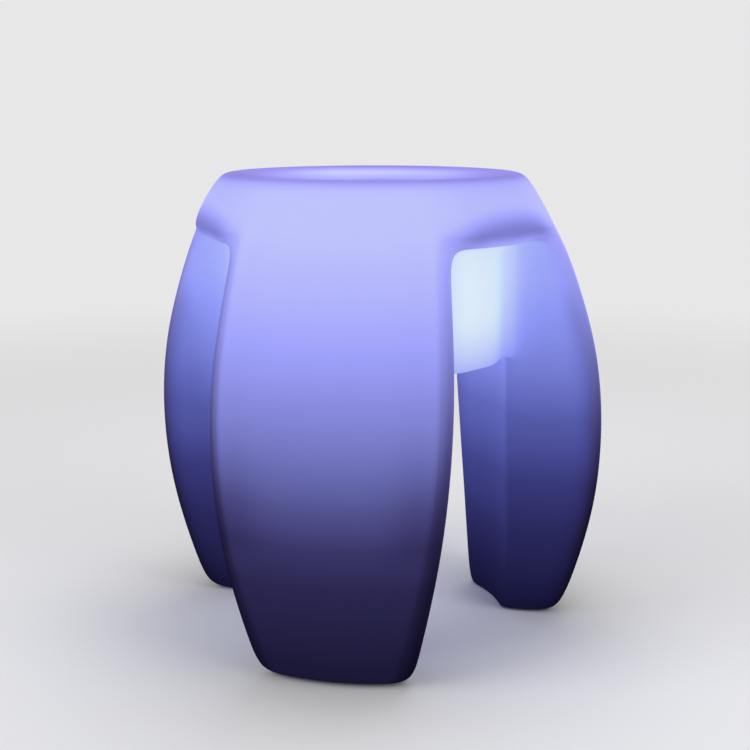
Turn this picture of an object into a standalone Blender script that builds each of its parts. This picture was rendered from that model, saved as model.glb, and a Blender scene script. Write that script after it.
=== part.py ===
"""Light-up stool: a hollow moulded shell on three legs, with a sealed lamp unit in its hub.

Metres, +Z up. It stands on the floor at Z = 0 with one leg towards -Y. The origin is the middle
of the box round it, on the floor. The seat's own axis lies a little behind the origin, because
the front leg reaches further from the axis than the two back legs do.
"""

import math

import bmesh
import bpy
import numpy as np
from mathutils import Matrix, Vector

# Driving sizes of the shell's outer form
SEAT_HEIGHT = 0.434
LEG_COUNT = 3
BELLY_RADIUS = 0.2195
BELLY_SHARE = 0.4217
RIM_INSET = 0.0788
FOOT_INSET = 0.0347
LIP_DROP = 0.058
HUB_DROP = 0.170
HUB_RADIUS = 0.1267
FOOT_INNER_RADIUS = 0.1275
CREST_RADIUS = 0.132
DISH_DEPTH = 0.013
SHELL_WALL = 0.004

# A leg's flat sides: their angle to the leg's middle, and how far each stands from the seat's
# axis at three heights. A minus sign is a side that passes on the leg's own side of the axis.
LEG_SIDE_ANGLE = math.radians(29.4)
SIDE_AT_FLOOR = -0.0196
SIDE_AT_MIDDLE = 0.0016
SIDE_AT_LIP = 0.0139

# How far the roundings reach from the edges that they soften
LEG_EDGE_REACH = 0.034
SIDE_REACH = 0.027
INNER_EDGE_REACH = 0.020
GAP_EDGE_REACH = 0.030
LIP_REACH = 0.031
FOOT_REACH = 0.038
HUB_EDGE_REACH = 0.012
CEILING_REACH = 0.014
# How far the lip is drawn in and up between the legs, where its rounding is fuller
LIP_ROLL = 0.0055

# The lamp unit's seat in the hub
RECESS_DEPTH = 0.008
RECESS_RADIUS = 0.084
OPENING_RADIUS = 0.066
TOUCH = 0.0003
PLATE_CLEARANCE = 0.0006
PLATE_THICKNESS = 0.005
BASE_SCREW_COUNT = 6
OVERRUN = 0.002

# The belly is at a share of the seat's height, and the lip and the hub's underside hang from it
BELLY_HEIGHT = SEAT_HEIGHT * BELLY_SHARE
LIP_HEIGHT = SEAT_HEIGHT - LIP_DROP
HUB_HEIGHT = SEAT_HEIGHT - HUB_DROP


def barrel_radius(height):
    """Outer radius at a height: one arc from the belly in to the rim, and a flatter one below."""
    height = np.asarray(height, float)
    above = height > BELLY_HEIGHT
    reach = np.where(above, SEAT_HEIGHT - BELLY_HEIGHT, BELLY_HEIGHT)
    inset = np.where(above, RIM_INSET, FOOT_INSET)
    arc = (reach**2 + inset**2) / (inset + inset)
    return BELLY_RADIUS - arc + np.sqrt(arc**2 - (height - BELLY_HEIGHT) ** 2)


def inner_radius(height):
    """Radius of the hub's wall, and below the hub that of the legs' inner faces, which lean out."""
    below = np.clip(1 - np.asarray(height) / HUB_HEIGHT, 0, 1)
    return HUB_RADIUS + (FOOT_INNER_RADIUS - HUB_RADIUS) * below


def edge_angle(radius, height):
    """Angle from a leg's middle to its side: a plane that stands off the axis by a parabola."""
    heights = (0, SEAT_HEIGHT / 2, LIP_HEIGHT)
    offsets = (SIDE_AT_FLOOR, SIDE_AT_MIDDLE, SIDE_AT_LIP)
    offset = np.polyval(np.polyfit(heights, offsets, 2), height)
    return LEG_SIDE_ANGLE + np.arcsin(offset / radius)


SECTOR = math.tau / LEG_COUNT
# Columns of control points in one sector: five on the leg and three on the gap beside it.
# Down a leg, so many evenly spread rows lie between the lip's rounding and the foot's.
COLUMNS = 8
LEG_ROWS = 6
LEG = slice(0, 5)
GAP = slice(4, 9)
HUB_ROW = 3
# Where a face is narrow, a rounding reaches over no more than this share of it
NARROW_SHARE = 0.4
# How much the rounding of the foot's inner edge is tightened, where 1 is a sharp edge
FOOT_CREASE = 0.4
# The innermost ring of the recess's floor lies within the opening that is cut out of it
LAST_RING_SHARE = 0.94
# The rounding takes this share of its reach off a leg's outer edge
EDGE_LOSS_SHARE = 0.14

# The seat's axis, set back so that the origin is midway between the front and back reaches
back_angle = (math.pi - SECTOR) / 2 + edge_angle(BELLY_RADIUS, BELLY_HEIGHT)
back_reach = BELLY_RADIUS * math.sin(back_angle) - EDGE_LOSS_SHARE * LEG_EDGE_REACH
SEAT_AXIS_Y = (BELLY_RADIUS - back_reach) / 2


def column_angles(radius, height, evenness):
    """Angles of a sector's columns, from one leg's edge to the next one's.

    At evenness 0 the second column from each edge lies one rounding's reach away from it. At
    evenness 1 all of them are spread evenly, as on the seat and round the recess.
    """
    edge = edge_angle(radius, height)
    leg_step = np.minimum(LEG_EDGE_REACH / radius, edge * NARROW_SHARE)
    gap_step = GAP_EDGE_REACH / radius
    middle = np.zeros_like(edge)
    on_leg = [-edge, leg_step - edge, middle, edge - leg_step, edge]
    on_gap = [edge + gap_step, middle + SECTOR / 2, SECTOR - edge - gap_step, SECTOR - edge]
    placed = np.stack(on_leg + on_gap, axis=-1)
    even = (np.arange(COLUMNS + 1) - 2) * SECTOR / COLUMNS
    share = np.asarray(evenness)[..., None]
    return placed * (1 - share) + even * share


def on_rings(radii, heights, columns=slice(None), evenness=0.0):
    """A grid of points, one row for each radius and height, on the chosen columns."""
    radii, heights = np.broadcast_arrays(np.asarray(radii, float), np.asarray(heights, float))
    angles = column_angles(radii, heights, np.broadcast_to(evenness, radii.shape))[..., columns]
    radii, heights = radii[..., None], heights[..., None] + 0 * angles
    return np.stack([radii * np.sin(angles), -radii * np.cos(angles), heights], axis=-1)


def inside(rows, columns, edges=(1, 1)):
    """Marks a grid's points off its borders: those that the finished surface passes through."""
    marks = np.zeros((rows, columns), bool)
    marks[edges[0] : rows - edges[0], edges[1] : columns - edges[1]] = True
    return marks


def across(outer, inner, inner_reach):
    """Four radii over a wall, from its outer to its inner edge, the middle two at the roundings."""
    most = (outer - inner) * NARROW_SHARE
    near_outer = outer - np.minimum(SIDE_REACH, most)
    near_inner = inner + np.minimum(inner_reach, most)
    return np.stack([outer, near_outer, near_inner, inner], axis=-1)


def shell_patches():
    """One sector of the shell's outer skin, as grids of points with a mark for each point.

    The crown covers the seat down to the lip. Below it a leg has an outer face, two sides, an
    inner face and a foot, and a gap has the lip's underside and the hub's wall. The ceiling is
    the hub's underside, with the stepped recess for the lamp unit.
    """
    shoulder_shares = np.array([0, 0.44, 0.86])
    shoulder = LIP_HEIGHT + shoulder_shares * (SEAT_HEIGHT - LIP_HEIGHT)
    dish_shares = np.array([0.40, 0.92, 1.0])
    dish_radius_shares = np.array([0.81, 0.5, 0.18])
    crown_radii = np.concatenate(
        [barrel_radius(shoulder), [CREST_RADIUS], CREST_RADIUS * dish_radius_shares]
    )
    dish_heights = SEAT_HEIGHT - DISH_DEPTH * dish_shares
    crown_heights = np.concatenate([shoulder, [SEAT_HEIGHT], dish_heights])
    evenness_shares = np.array([0, 0.3, 0.6, 0.9, 1, 1, 1])
    crown = on_rings(crown_radii, crown_heights, evenness=evenness_shares)
    crown_marks = inside(*crown.shape[:2], edges=(1, 0))
    crown_marks[0, 1:4] = True

    outer_rows = np.linspace(LIP_HEIGHT - LIP_REACH, FOOT_REACH, LEG_ROWS)
    outer_rows = np.concatenate([[LIP_HEIGHT], outer_rows, [0]])
    hub_rows = [LIP_HEIGHT, LIP_HEIGHT - LIP_REACH, HUB_HEIGHT + HUB_EDGE_REACH, HUB_HEIGHT]
    below_hub = HUB_HEIGHT - CEILING_REACH
    inner_rows = np.array(hub_rows + [below_hub, (below_hub + FOOT_REACH) / 2, FOOT_REACH, 0])
    outer = on_rings(barrel_radius(outer_rows), outer_rows, LEG)
    leg_rows = inner_rows[HUB_ROW:]
    inner = on_rings(inner_radius(leg_rows), leg_rows, LEG)
    foot = on_rings(across(barrel_radius(0), inner_radius(0), INNER_EDGE_REACH), 0, LEG)

    inner_reach = np.where(inner_rows < HUB_HEIGHT, INNER_EDGE_REACH, SIDE_REACH)
    side_radii = across(barrel_radius(outer_rows), inner_radius(inner_rows), inner_reach)
    width = side_radii[:, :1] - side_radii[:, -1:]
    share = (side_radii[:, :1] - side_radii) / width
    side_heights = outer_rows[:, None] * (1 - share) + inner_rows[:, None] * share
    sides = on_rings(side_radii, side_heights, LEG)

    lip = on_rings(across(barrel_radius(LIP_HEIGHT), HUB_RADIUS, SIDE_REACH), LIP_HEIGHT, GAP)
    wall = on_rings(HUB_RADIUS, np.array(hub_rows), GAP)
    for shared_edge in (crown[0, 5:8], lip[0, 1:4]):
        shared_edge[:, :2] *= 1 - LIP_ROLL / barrel_radius(LIP_HEIGHT)
        shared_edge[:, 2] += LIP_ROLL

    # A ring of evenly spread control points gives a circle this much smaller than itself
    ring_share = (2 + math.cos(SECTOR / COLUMNS)) / 3
    recess = RECESS_RADIUS / ring_share
    floor_height = HUB_HEIGHT + RECESS_DEPTH
    flat = (HUB_RADIUS + RECESS_RADIUS) / 2 + HUB_EDGE_REACH / 2
    ceiling_radii = [HUB_RADIUS, flat, recess, recess, OPENING_RADIUS * LAST_RING_SHARE]
    ceiling_heights = [HUB_HEIGHT, HUB_HEIGHT, HUB_HEIGHT, floor_height, floor_height]
    evenness_shares = np.array([0, 0.5, 1, 1, 1])
    ceiling = on_rings(ceiling_radii, ceiling_heights, evenness=evenness_shares)
    ceiling_marks = np.zeros(ceiling.shape[:2], bool)
    ceiling_marks[1] = True

    plain = [outer, inner, foot, sides[..., 0, :], sides[..., -1, :], lip, wall]
    marked = [(grid, inside(*grid.shape[:2])) for grid in plain]
    return [(crown, crown_marks), (ceiling, ceiling_marks)] + marked


def limit_weights(quads, count):
    """Weights of the control points in the place that each one settles to on the smooth surface.

    A point with n faces round it takes n squared of itself, 4 of each neighbour along an edge
    and 1 of each opposite corner, over n (n + 5). An edge is met once from each of its faces.
    """
    weights = np.zeros((count, count))
    faces_round = np.zeros(count)
    for turn in range(4):
        corner, after, opposite, before = np.roll(quads, turn, axis=1).T
        np.add.at(weights, (corner, after), 2)
        np.add.at(weights, (corner, before), 2)
        np.add.at(weights, (corner, opposite), 1)
        np.add.at(faces_round, corner, 1)
    weights /= (faces_round * (faces_round + 5))[:, None]
    weights[np.arange(count), np.arange(count)] += faces_round / (faces_round + 5)
    return weights


def shell_skin():
    """Control points and faces of the outer skin, and how sharp some of its edges stay.

    The sectors' grids share their border points, which are joined here. Points off the edges
    are then moved so that the finished surface passes through the place worked out for them,
    while those on the edges stay out at the corner and are rounded off.
    """
    points, marks, grids, start = [], [], [], 0
    for turn in range(LEG_COUNT):
        turned_by = np.array(Matrix.Rotation(turn * SECTOR, 3, "Z"))
        for grid, mark in shell_patches():
            points.append(grid.reshape(-1, 3) @ turned_by.T)
            marks.append(mark.reshape(-1))
            grids.append(start + np.arange(mark.size).reshape(mark.shape))
            start += mark.size
    points, marks = np.concatenate(points), np.concatenate(marks)
    together = np.linalg.norm(points[:, None] - points, axis=-1) < TOUCH
    first, joined = np.unique(together.argmax(axis=1), return_inverse=True)
    free = np.zeros(len(first), bool)
    np.logical_or.at(free, joined, marks)
    points = points[first]
    grids = [joined[grid] for grid in grids]
    quads = np.concatenate(
        [
            np.stack([g[:-1, :-1], g[1:, :-1], g[1:, 1:], g[:-1, 1:]], axis=-1).reshape(-1, 4)
            for g in grids
        ]
    )
    weights = limit_weights(quads, len(points))
    goal = points[free] - weights[np.ix_(free, ~free)] @ points[~free]
    points[free] = np.linalg.solve(weights[np.ix_(free, free)], goal)

    per_sector = len(grids) // LEG_COUNT
    crowns, ceilings, feet = (grids[start::per_sector] for start in (0, 1, 4))
    seat_middle = np.concatenate([g[-1, :-1] for g in crowns])
    recess_middle = np.concatenate([g[-1, :-1] for g in ceilings])
    faces = quads.tolist() + [seat_middle.tolist(), recess_middle.tolist()]
    creases = {}
    for ring in [np.concatenate([g[row, :-1] for g in ceilings]) for row in (2, 3)]:
        creases.update({frozenset(pair): 1.0 for pair in zip(ring, np.roll(ring, -1))})
    for foot in feet:
        creases.update({frozenset(pair): FOOT_CREASE for pair in zip(foot[-1], foot[-1][1:])})
    return points, faces, creases


def material(name, colour, roughness, metallic=0.0, glow=0.0):
    """A plain finish, made once for each name."""
    found = bpy.data.materials.get(name)
    if found:
        return found
    made = bpy.data.materials.new(name)
    made.use_nodes = True
    surface = made.node_tree.nodes["Principled BSDF"]
    surface.inputs["Base Color"].default_value = (*colour, 1)
    surface.inputs["Roughness"].default_value = roughness
    surface.inputs["Metallic"].default_value = metallic
    surface.inputs["Emission Color"].default_value = (*colour, 1)
    surface.inputs["Emission Strength"].default_value = glow
    made.diffuse_color = (*colour, 1)
    return made


GLOWING_SHELL = ("glowing_polyethylene", (0.62, 0.60, 0.95), 0.45, 0.0, 0.6)
OPAL = ("opal_polycarbonate", (0.92, 0.92, 0.95), 0.35, 0.0, 0.8)
PALE_PLASTIC = ("pale_abs", (0.72, 0.72, 0.74), 0.45)
BLACK_PLASTIC = ("black_nylon", (0.03, 0.03, 0.035), 0.4)
BLACK_RUBBER = ("black_rubber", (0.025, 0.025, 0.027), 0.75)
GREY_RUBBER = ("grey_silicone", (0.35, 0.35, 0.37), 0.7)
STEEL = ("stainless_steel", (0.62, 0.62, 0.60), 0.3, 1.0)
BRASS = ("brass", (0.75, 0.58, 0.28), 0.35, 1.0)
ALUMINIUM = ("aluminium_board", (0.80, 0.80, 0.79), 0.4, 1.0)
GREEN_BOARD = ("circuit_board", (0.03, 0.20, 0.08), 0.45)
BLUE_WRAP = ("cell_wrap", (0.08, 0.20, 0.55), 0.35)
LED_WHITE = ("led_package", (0.95, 0.93, 0.80), 0.3, 0.0, 2.0)
SMOKED = ("smoked_window", (0.05, 0.01, 0.02), 0.1)
HELPER = ("helper", (0.5, 0.5, 0.5), 0.5)

SMOOTH_BELOW = math.radians(40)
MERGE_SHARE = 0.01


def add_object(name, data, finish, place=(0, 0, 0), parent=None):
    """Puts a mesh or a curve in the scene. A helper only cuts or joins others."""
    obj = bpy.data.objects.new(name, data)
    bpy.context.scene.collection.objects.link(obj)
    obj.location = place
    obj.parent = parent
    if not data.materials:
        data.materials.append(material(*finish))
    if finish == HELPER:
        obj.hide_render = True
        obj.display_type = "WIRE"
    return obj


def mesh_from(form, name):
    """Turns a finished bmesh into a mesh whose faces point out, smooth but for its edges."""
    bmesh.ops.recalc_face_normals(form, faces=form.faces)
    mesh = bpy.data.meshes.new(name)
    form.to_mesh(mesh)
    form.free()
    mesh.shade_smooth()
    mesh.set_sharp_from_angle(angle=SMOOTH_BELOW)
    return mesh


def turned_form(profile, segments, form=None, place=(0, 0)):
    """Turns an outline of (radius, height) points about an upright line through this place.

    An outline that starts off the line is closed on itself, and one that starts on it ends on it.
    """
    form = form or bmesh.new()
    middle = Vector((*place, 0))
    loop = [form.verts.new(middle + Vector((radius, 0, height))) for radius, height in profile]
    edges = [form.edges.new(pair) for pair in zip(loop, loop[1:])]
    if profile[0][0] > 0:
        edges.append(form.edges.new((loop[-1], loop[0])))
    bmesh.ops.spin(
        form, geom=loop + edges, cent=middle, axis=(0, 0, 1), angle=math.tau, steps=segments
    )
    bmesh.ops.remove_doubles(form, verts=form.verts, dist=TOUCH * MERGE_SHARE)
    return form


def block_form(low, high, form=None):
    """A box between two opposite corners."""
    form = form or bmesh.new()
    low, high = Vector(low), Vector(high)
    where = Matrix.Translation((low + high) / 2) @ Matrix.Diagonal((*(high - low), 1))
    bmesh.ops.create_cube(form, size=1, matrix=where)
    return form


def cut(target, form, operation="DIFFERENCE"):
    """Cuts a form out of the target, or joins it on, by way of a helper object."""
    name = f"{target.name}_{operation.lower()}"
    helper = add_object(name, mesh_from(form, name), HELPER, target.location, target.parent)
    change = target.modifiers.new(name, "BOOLEAN")
    change.object = helper
    change.operation = operation
    change.solver = "EXACT"


def round_the_axis(count, radius, start=0.0):
    """Places evenly spread on a circle round the axis, as (x, y) pairs."""
    turns = [start + math.tau * step / count for step in range(count)]
    return [(radius * math.cos(turn), radius * math.sin(turn)) for turn in turns]


# Heights at the hub's recess, where the base plate closes the shell
RECESS_FLOOR = HUB_HEIGHT + RECESS_DEPTH
PLATE_TOP = RECESS_FLOOR - TOUCH
PLATE_BOTTOM = PLATE_TOP - PLATE_THICKNESS
UNDER_PLATE = PLATE_BOTTOM - TOUCH
ON_PLATE = PLATE_TOP + TOUCH
PLATE_RADIUS = RECESS_RADIUS - PLATE_CLEARANCE
SCREW_CIRCLE = (OPENING_RADIUS + RECESS_RADIUS) / 2

# Base screws, and the brass inserts moulded into the shell's bosses
SCREW_RADIUS = 0.0020
SCREW_HEAD_RADIUS = 0.0036
SCREW_HEAD_HEIGHT = 0.0020
SCREW_LENGTH = 0.0130
SOCKET_SHARE = 0.4
COUNTERBORE_DEPTH = 0.0026
COUNTERBORE_CLEARANCE = 0.0007
INSERT_WALL = 0.0011
INSERT_LENGTH = 0.0085
BOSS_WALL = 0.0036
screw_seat = PLATE_BOTTOM + COUNTERBORE_DEPTH
screw_tip = screw_seat - TOUCH + SCREW_LENGTH
insert_radius = SCREW_RADIUS + TOUCH + INSERT_WALL
insert_low = RECESS_FLOOR + TOUCH
insert_high = insert_low + INSERT_LENGTH
boss_bore = insert_radius + TOUCH
boss_bore_top = max(insert_high, screw_tip) + TOUCH
SCREW_SIDES = 10
RING_SIDES = 36


def make_shell(parent):
    """The moulded shell: its skin rounded and thickened inwards, with bosses and an opening."""
    points, faces, creases = shell_skin()
    mesh = bpy.data.meshes.new("shell")
    mesh.from_pydata(points.tolist(), [], faces)
    form = bmesh.new()
    form.from_mesh(mesh)
    bmesh.ops.recalc_face_normals(form, faces=form.faces)
    crease = form.edges.layers.float.new("crease_edge")
    for edge in form.edges:
        edge[crease] = creases.get(frozenset(vert.index for vert in edge.verts), 0)
    form.to_mesh(mesh)
    form.free()
    mesh.shade_smooth()
    shell = add_object("shell", mesh, GLOWING_SHELL, parent=parent)
    smooth = shell.modifiers.new("rounding", "SUBSURF")
    smooth.levels = smooth.render_levels = 1
    hollow = shell.modifiers.new("wall", "SOLIDIFY")
    hollow.thickness = SHELL_WALL
    hollow.offset = -1
    hollow.use_even_offset = True

    boss_radius, boss_foot = boss_bore + BOSS_WALL, RECESS_FLOOR + SHELL_WALL / 2
    boss_top, hole_foot = boss_bore_top + SHELL_WALL, RECESS_FLOOR - OVERRUN
    boss = [(0, boss_foot), (boss_radius, boss_foot), (boss_radius, boss_top), (0, boss_top)]
    bore = [(0, hole_foot), (boss_bore, hole_foot), (boss_bore, boss_bore_top), (0, boss_bore_top)]
    through = RECESS_FLOOR + SHELL_WALL + OVERRUN
    opening = [(0, hole_foot), (OPENING_RADIUS, hole_foot), (OPENING_RADIUS, through), (0, through)]
    bosses, holes = bmesh.new(), turned_form(opening, RING_SIDES)
    for place in round_the_axis(BASE_SCREW_COUNT, SCREW_CIRCLE):
        turned_form(boss, SCREW_SIDES, bosses, place)
        turned_form(bore, SCREW_SIDES, holes, place)
    cut(shell, bosses, "UNION")
    cut(shell, holes)


def screw_mesh(name, radius, head_radius, head_height, length, upward):
    """A socket screw with its seat at height 0, whose shank points up or down."""
    side = 1 if upward else -1
    socket = head_radius * SOCKET_SHARE
    outline = [
        (0, -head_height * SOCKET_SHARE),
        (socket, -head_height * SOCKET_SHARE),
        (socket, -head_height),
        (head_radius - head_height * SOCKET_SHARE, -head_height),
        (head_radius, -head_height * (1 - SOCKET_SHARE)),
        (head_radius, 0),
        (radius, 0),
        (radius, length),
        (0, length),
    ]
    return mesh_from(turned_form([(r, side * h) for r, h in outline], SCREW_SIDES), name)


def make_base_screws(parent):
    """Six screws up through the plate, each into a brass insert in the shell."""
    screw = screw_mesh(
        "base_screw", SCREW_RADIUS, SCREW_HEAD_RADIUS, SCREW_HEAD_HEIGHT, SCREW_LENGTH, True
    )
    bore = SCREW_RADIUS + TOUCH
    ring = [(bore, 0), (insert_radius, 0), (insert_radius, INSERT_LENGTH), (bore, INSERT_LENGTH)]
    insert = mesh_from(turned_form(ring, SCREW_SIDES), "insert_nut")
    for number, place in enumerate(round_the_axis(BASE_SCREW_COUNT, SCREW_CIRCLE), 1):
        add_object(f"base_screw_{number}", screw, STEEL, (*place, screw_seat - TOUCH), parent)
        add_object(f"insert_nut_{number}", insert, BRASS, (*place, insert_low), parent)


# Gasket in a groove in the plate's top, between the opening and the screws
GASKET_INSET = 0.0008
GASKET_WIDTH = 0.0028
GASKET_HEIGHT = 0.0017


def make_gasket(parent):
    """A flat silicone ring that the plate presses against the recess's floor."""
    low, high = PLATE_TOP - GASKET_HEIGHT, PLATE_TOP
    inner = OPENING_RADIUS + GASKET_INSET
    outer = inner + GASKET_WIDTH
    ring = [(inner, low), (outer, low), (outer, high), (inner, high)]
    mesh = mesh_from(turned_form(ring, RING_SIDES), "gasket")
    add_object("gasket", mesh, GREY_RUBBER, parent=parent)


# Cells and the tray that holds them
CELL_RADIUS = 0.0092
CELL_LENGTH = 0.0650
CELL_CAP_RADIUS = 0.0030
CELL_CAP_HEIGHT = 0.0010
CELL_GAP = 0.0010
CELL_SIDES = 16
TRAY_WALL = 0.0015
TRAY_HEIGHT = 0.0120
TRAY_END_SPACE = 0.0025
CONTACT_THICKNESS = 0.0005
PEG_WIDTH = 0.0050
PEG_PIN_RADIUS = 0.0011
PEG_PIN_HEIGHT = 0.0010
BOARD_THICKNESS = 0.0016
cell_y = CELL_RADIUS + CELL_GAP / 2
tray_floor = ON_PLATE + TRAY_WALL
cell_height = tray_floor + TOUCH + CELL_RADIUS
inside_x = CELL_LENGTH / 2 + CELL_CAP_HEIGHT + TRAY_END_SPACE
inside_y = cell_y + CELL_RADIUS + TOUCH
tray_x = inside_x + TRAY_WALL
tray_y = inside_y + TRAY_WALL
board_low = cell_height + CELL_RADIUS + TRAY_END_SPACE
board_high = board_low + BOARD_THICKNESS
peg_x = tray_x + PEG_WIDTH / 2 - TRAY_WALL / 2
peg_y = tray_y - PEG_WIDTH / 2 - TRAY_WALL / 2
pegs = [(side_x * peg_x, side_y * peg_y) for side_x in (-1, 1) for side_y in (-1, 1)]


def make_battery(parent):
    """Two cells side by side in an open tray, whose four pegs carry the control board."""
    low, high = (-tray_x, -tray_y, ON_PLATE), (tray_x, tray_y, ON_PLATE + TRAY_HEIGHT)
    mesh = mesh_from(block_form(low, high), "battery_tray")
    tray = add_object("battery_tray", mesh, BLACK_PLASTIC, parent=parent)
    top = ON_PLATE + TRAY_HEIGHT + OVERRUN
    cut(tray, block_form((-inside_x, -inside_y, tray_floor), (inside_x, inside_y, top)))
    half = PEG_WIDTH / 2
    posts = bmesh.new()
    foot, top = ON_PLATE + TRAY_WALL / 2, board_low - TOUCH
    for x, y in pegs:
        block_form((x - half, y - half, foot), (x + half, y + half, top), posts)
    cut(tray, posts, "UNION")
    pins = bmesh.new()
    low, high = board_low - PEG_PIN_HEIGHT, board_high + PEG_PIN_HEIGHT
    pin = [(0, low), (PEG_PIN_RADIUS, low), (PEG_PIN_RADIUS, high), (0, high)]
    for place in pegs:
        turned_form(pin, SCREW_SIDES, pins, place)
    cut(tray, pins, "UNION")

    half = CELL_LENGTH / 2
    outline = [
        (0, -half),
        (CELL_RADIUS, -half),
        (CELL_RADIUS, half),
        (CELL_CAP_RADIUS, half),
        (CELL_CAP_RADIUS, half + CELL_CAP_HEIGHT),
        (0, half + CELL_CAP_HEIGHT),
    ]
    cell = mesh_from(turned_form(outline, CELL_SIDES), "battery_cell")
    for number, side in enumerate((-1, 1), 1):
        place = (0, side * cell_y, cell_height)
        made = add_object(f"battery_cell_{number}", cell, BLUE_WRAP, place, parent)
        made.rotation_euler = (0, side * math.pi / 2, 0)
        near = half + CELL_CAP_HEIGHT + TOUCH
        ends = sorted((side * near, side * (near + CONTACT_THICKNESS)))
        low = (ends[0], -inside_y + TOUCH, tray_floor + TOUCH)
        high = (ends[1], inside_y - TOUCH, board_low - TOUCH)
        strip = mesh_from(block_form(low, high), "battery_contact")
        add_object(f"battery_contact_{number}", strip, STEEL, parent=parent)


# The switch and the charging socket stand beside the tray, each in a threaded barrel with a nut
BARREL_RADIUS = 0.0060
FLANGE_RADIUS = 0.0078
FLANGE_THICKNESS = 0.0016
NUT_RADIUS = 0.0088
NUT_HEIGHT = 0.0025
BARREL_ROOF = 0.0020
NUT_MARGIN = 0.0015
BORE_SIDES = 16
fitting_y = tray_y + NUT_RADIUS + NUT_MARGIN
flange_low = UNDER_PLATE - FLANGE_THICKNESS

# The push button in the switch, with the spring that returns it
BUTTON_RADIUS = 0.0038
BUTTON_COLLAR_RADIUS = 0.0046
BUTTON_COLLAR_HEIGHT = 0.0030
BUTTON_CLEARANCE = 0.0003
BUTTON_PROUD = 0.0024
BUTTON_ROUND = 0.0008
BUTTON_TRAVEL = 0.0015
MOUTH_LIP = 0.0012
SPRING_WIRE = 0.00035
SPRING_RADIUS = 0.0030
SPRING_PRESSED = 0.0038
SPRING_TURNS = 4
SPRING_STEPS = 9
button_low = flange_low - BUTTON_PROUD
collar_low = flange_low + MOUTH_LIP + TOUCH
spring_low = collar_low + BUTTON_COLLAR_HEIGHT + TOUCH
spring_length = SPRING_PRESSED + BUTTON_TRAVEL
switch_bore_top = spring_low + spring_length + TOUCH
switch_top = switch_bore_top + BARREL_ROOF

# The charging socket's bore, with its centre pin
SOCKET_BORE = 0.0032
SOCKET_DEPTH = 0.0100
SOCKET_PIN_RADIUS = 0.00105
SOCKET_PIN_SHARE = 0.75
socket_bore_top = flange_low + SOCKET_DEPTH
socket_top = socket_bore_top + BARREL_ROOF


def nut_mesh(name):
    """A hexagonal nut for a barrel, standing on height 0, with every other point on a corner."""
    bore = BARREL_RADIUS + TOUCH
    ring = [(bore, 0), (NUT_RADIUS, 0), (NUT_RADIUS, NUT_HEIGHT), (bore, NUT_HEIGHT)]
    form = turned_form(ring, 12)
    flat = NUT_RADIUS * math.cos(math.pi / 6)
    for vert in form.verts:
        twelfth = round(math.atan2(vert.co.y, vert.co.x) / (math.tau / 12))
        if twelfth % 2 and vert.co.xy.length > (bore + flat) / 2:
            vert.co.xy *= flat / NUT_RADIUS
    return mesh_from(form, name)


def barrel_outside(top):
    """The outside of a flanged barrel that opens downwards, from its top to its flange."""
    return [
        (0, top),
        (BARREL_RADIUS, top),
        (BARREL_RADIUS, UNDER_PLATE),
        (FLANGE_RADIUS, UNDER_PLATE),
        (FLANGE_RADIUS, flange_low),
    ]


def make_switch(parent):
    """The power switch: barrel, nut, and a button that is pushed up against its spring.

    The button's collar rests on the lip round the mouth of the barrel's bore.
    """
    mouth, bore = BUTTON_RADIUS + BUTTON_CLEARANCE, BUTTON_COLLAR_RADIUS + BUTTON_CLEARANCE
    mouth_top = flange_low + MOUTH_LIP
    inside_points = [(mouth, flange_low), (mouth, mouth_top), (bore, mouth_top)]
    inside_points += [(bore, switch_bore_top), (0, switch_bore_top)]
    form = turned_form(barrel_outside(switch_top) + inside_points, BORE_SIDES)
    place = (0, -fitting_y, 0)
    add_object("switch_body", mesh_from(form, "switch_body"), BLACK_PLASTIC, place, parent)
    add_object("switch_nut", nut_mesh("switch_nut"), STEEL, (0, -fitting_y, ON_PLATE), parent)
    collar = collar_low - button_low
    outline = [
        (0, 0),
        (BUTTON_RADIUS - BUTTON_ROUND, 0),
        (BUTTON_RADIUS, BUTTON_ROUND),
        (BUTTON_RADIUS, collar),
        (BUTTON_COLLAR_RADIUS, collar),
        (BUTTON_COLLAR_RADIUS, collar + BUTTON_COLLAR_HEIGHT),
        (0, collar + BUTTON_COLLAR_HEIGHT),
    ]
    button = mesh_from(turned_form(outline, BORE_SIDES), "power_button")
    add_object("power_button", button, GREY_RUBBER, (0, -fitting_y, button_low), parent)

    coil = bpy.data.curves.new("switch_spring", "CURVE")
    coil.dimensions = "3D"
    coil.bevel_depth = SPRING_WIRE
    coil.bevel_resolution = 0
    coil.use_fill_caps = True
    share = np.linspace(0, 1, SPRING_TURNS * SPRING_STEPS + 1)
    angle = math.tau * SPRING_TURNS * share
    rise = SPRING_WIRE + (spring_length - 2 * SPRING_WIRE) * share
    points = np.stack([SPRING_RADIUS * np.cos(angle), SPRING_RADIUS * np.sin(angle), rise], axis=1)
    set_route(coil, points)
    add_object("switch_spring", coil, STEEL, (0, -fitting_y, spring_low), parent)


def set_route(curve, points):
    """Gives a curve one straight-sided spline through these points."""
    spline = curve.splines.new("POLY")
    spline.points.add(len(points) - 1)
    ends = np.concatenate([points, np.ones((len(points), 1))], axis=1)
    spline.points.foreach_set("co", ends.astype(np.float32).ravel())


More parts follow.
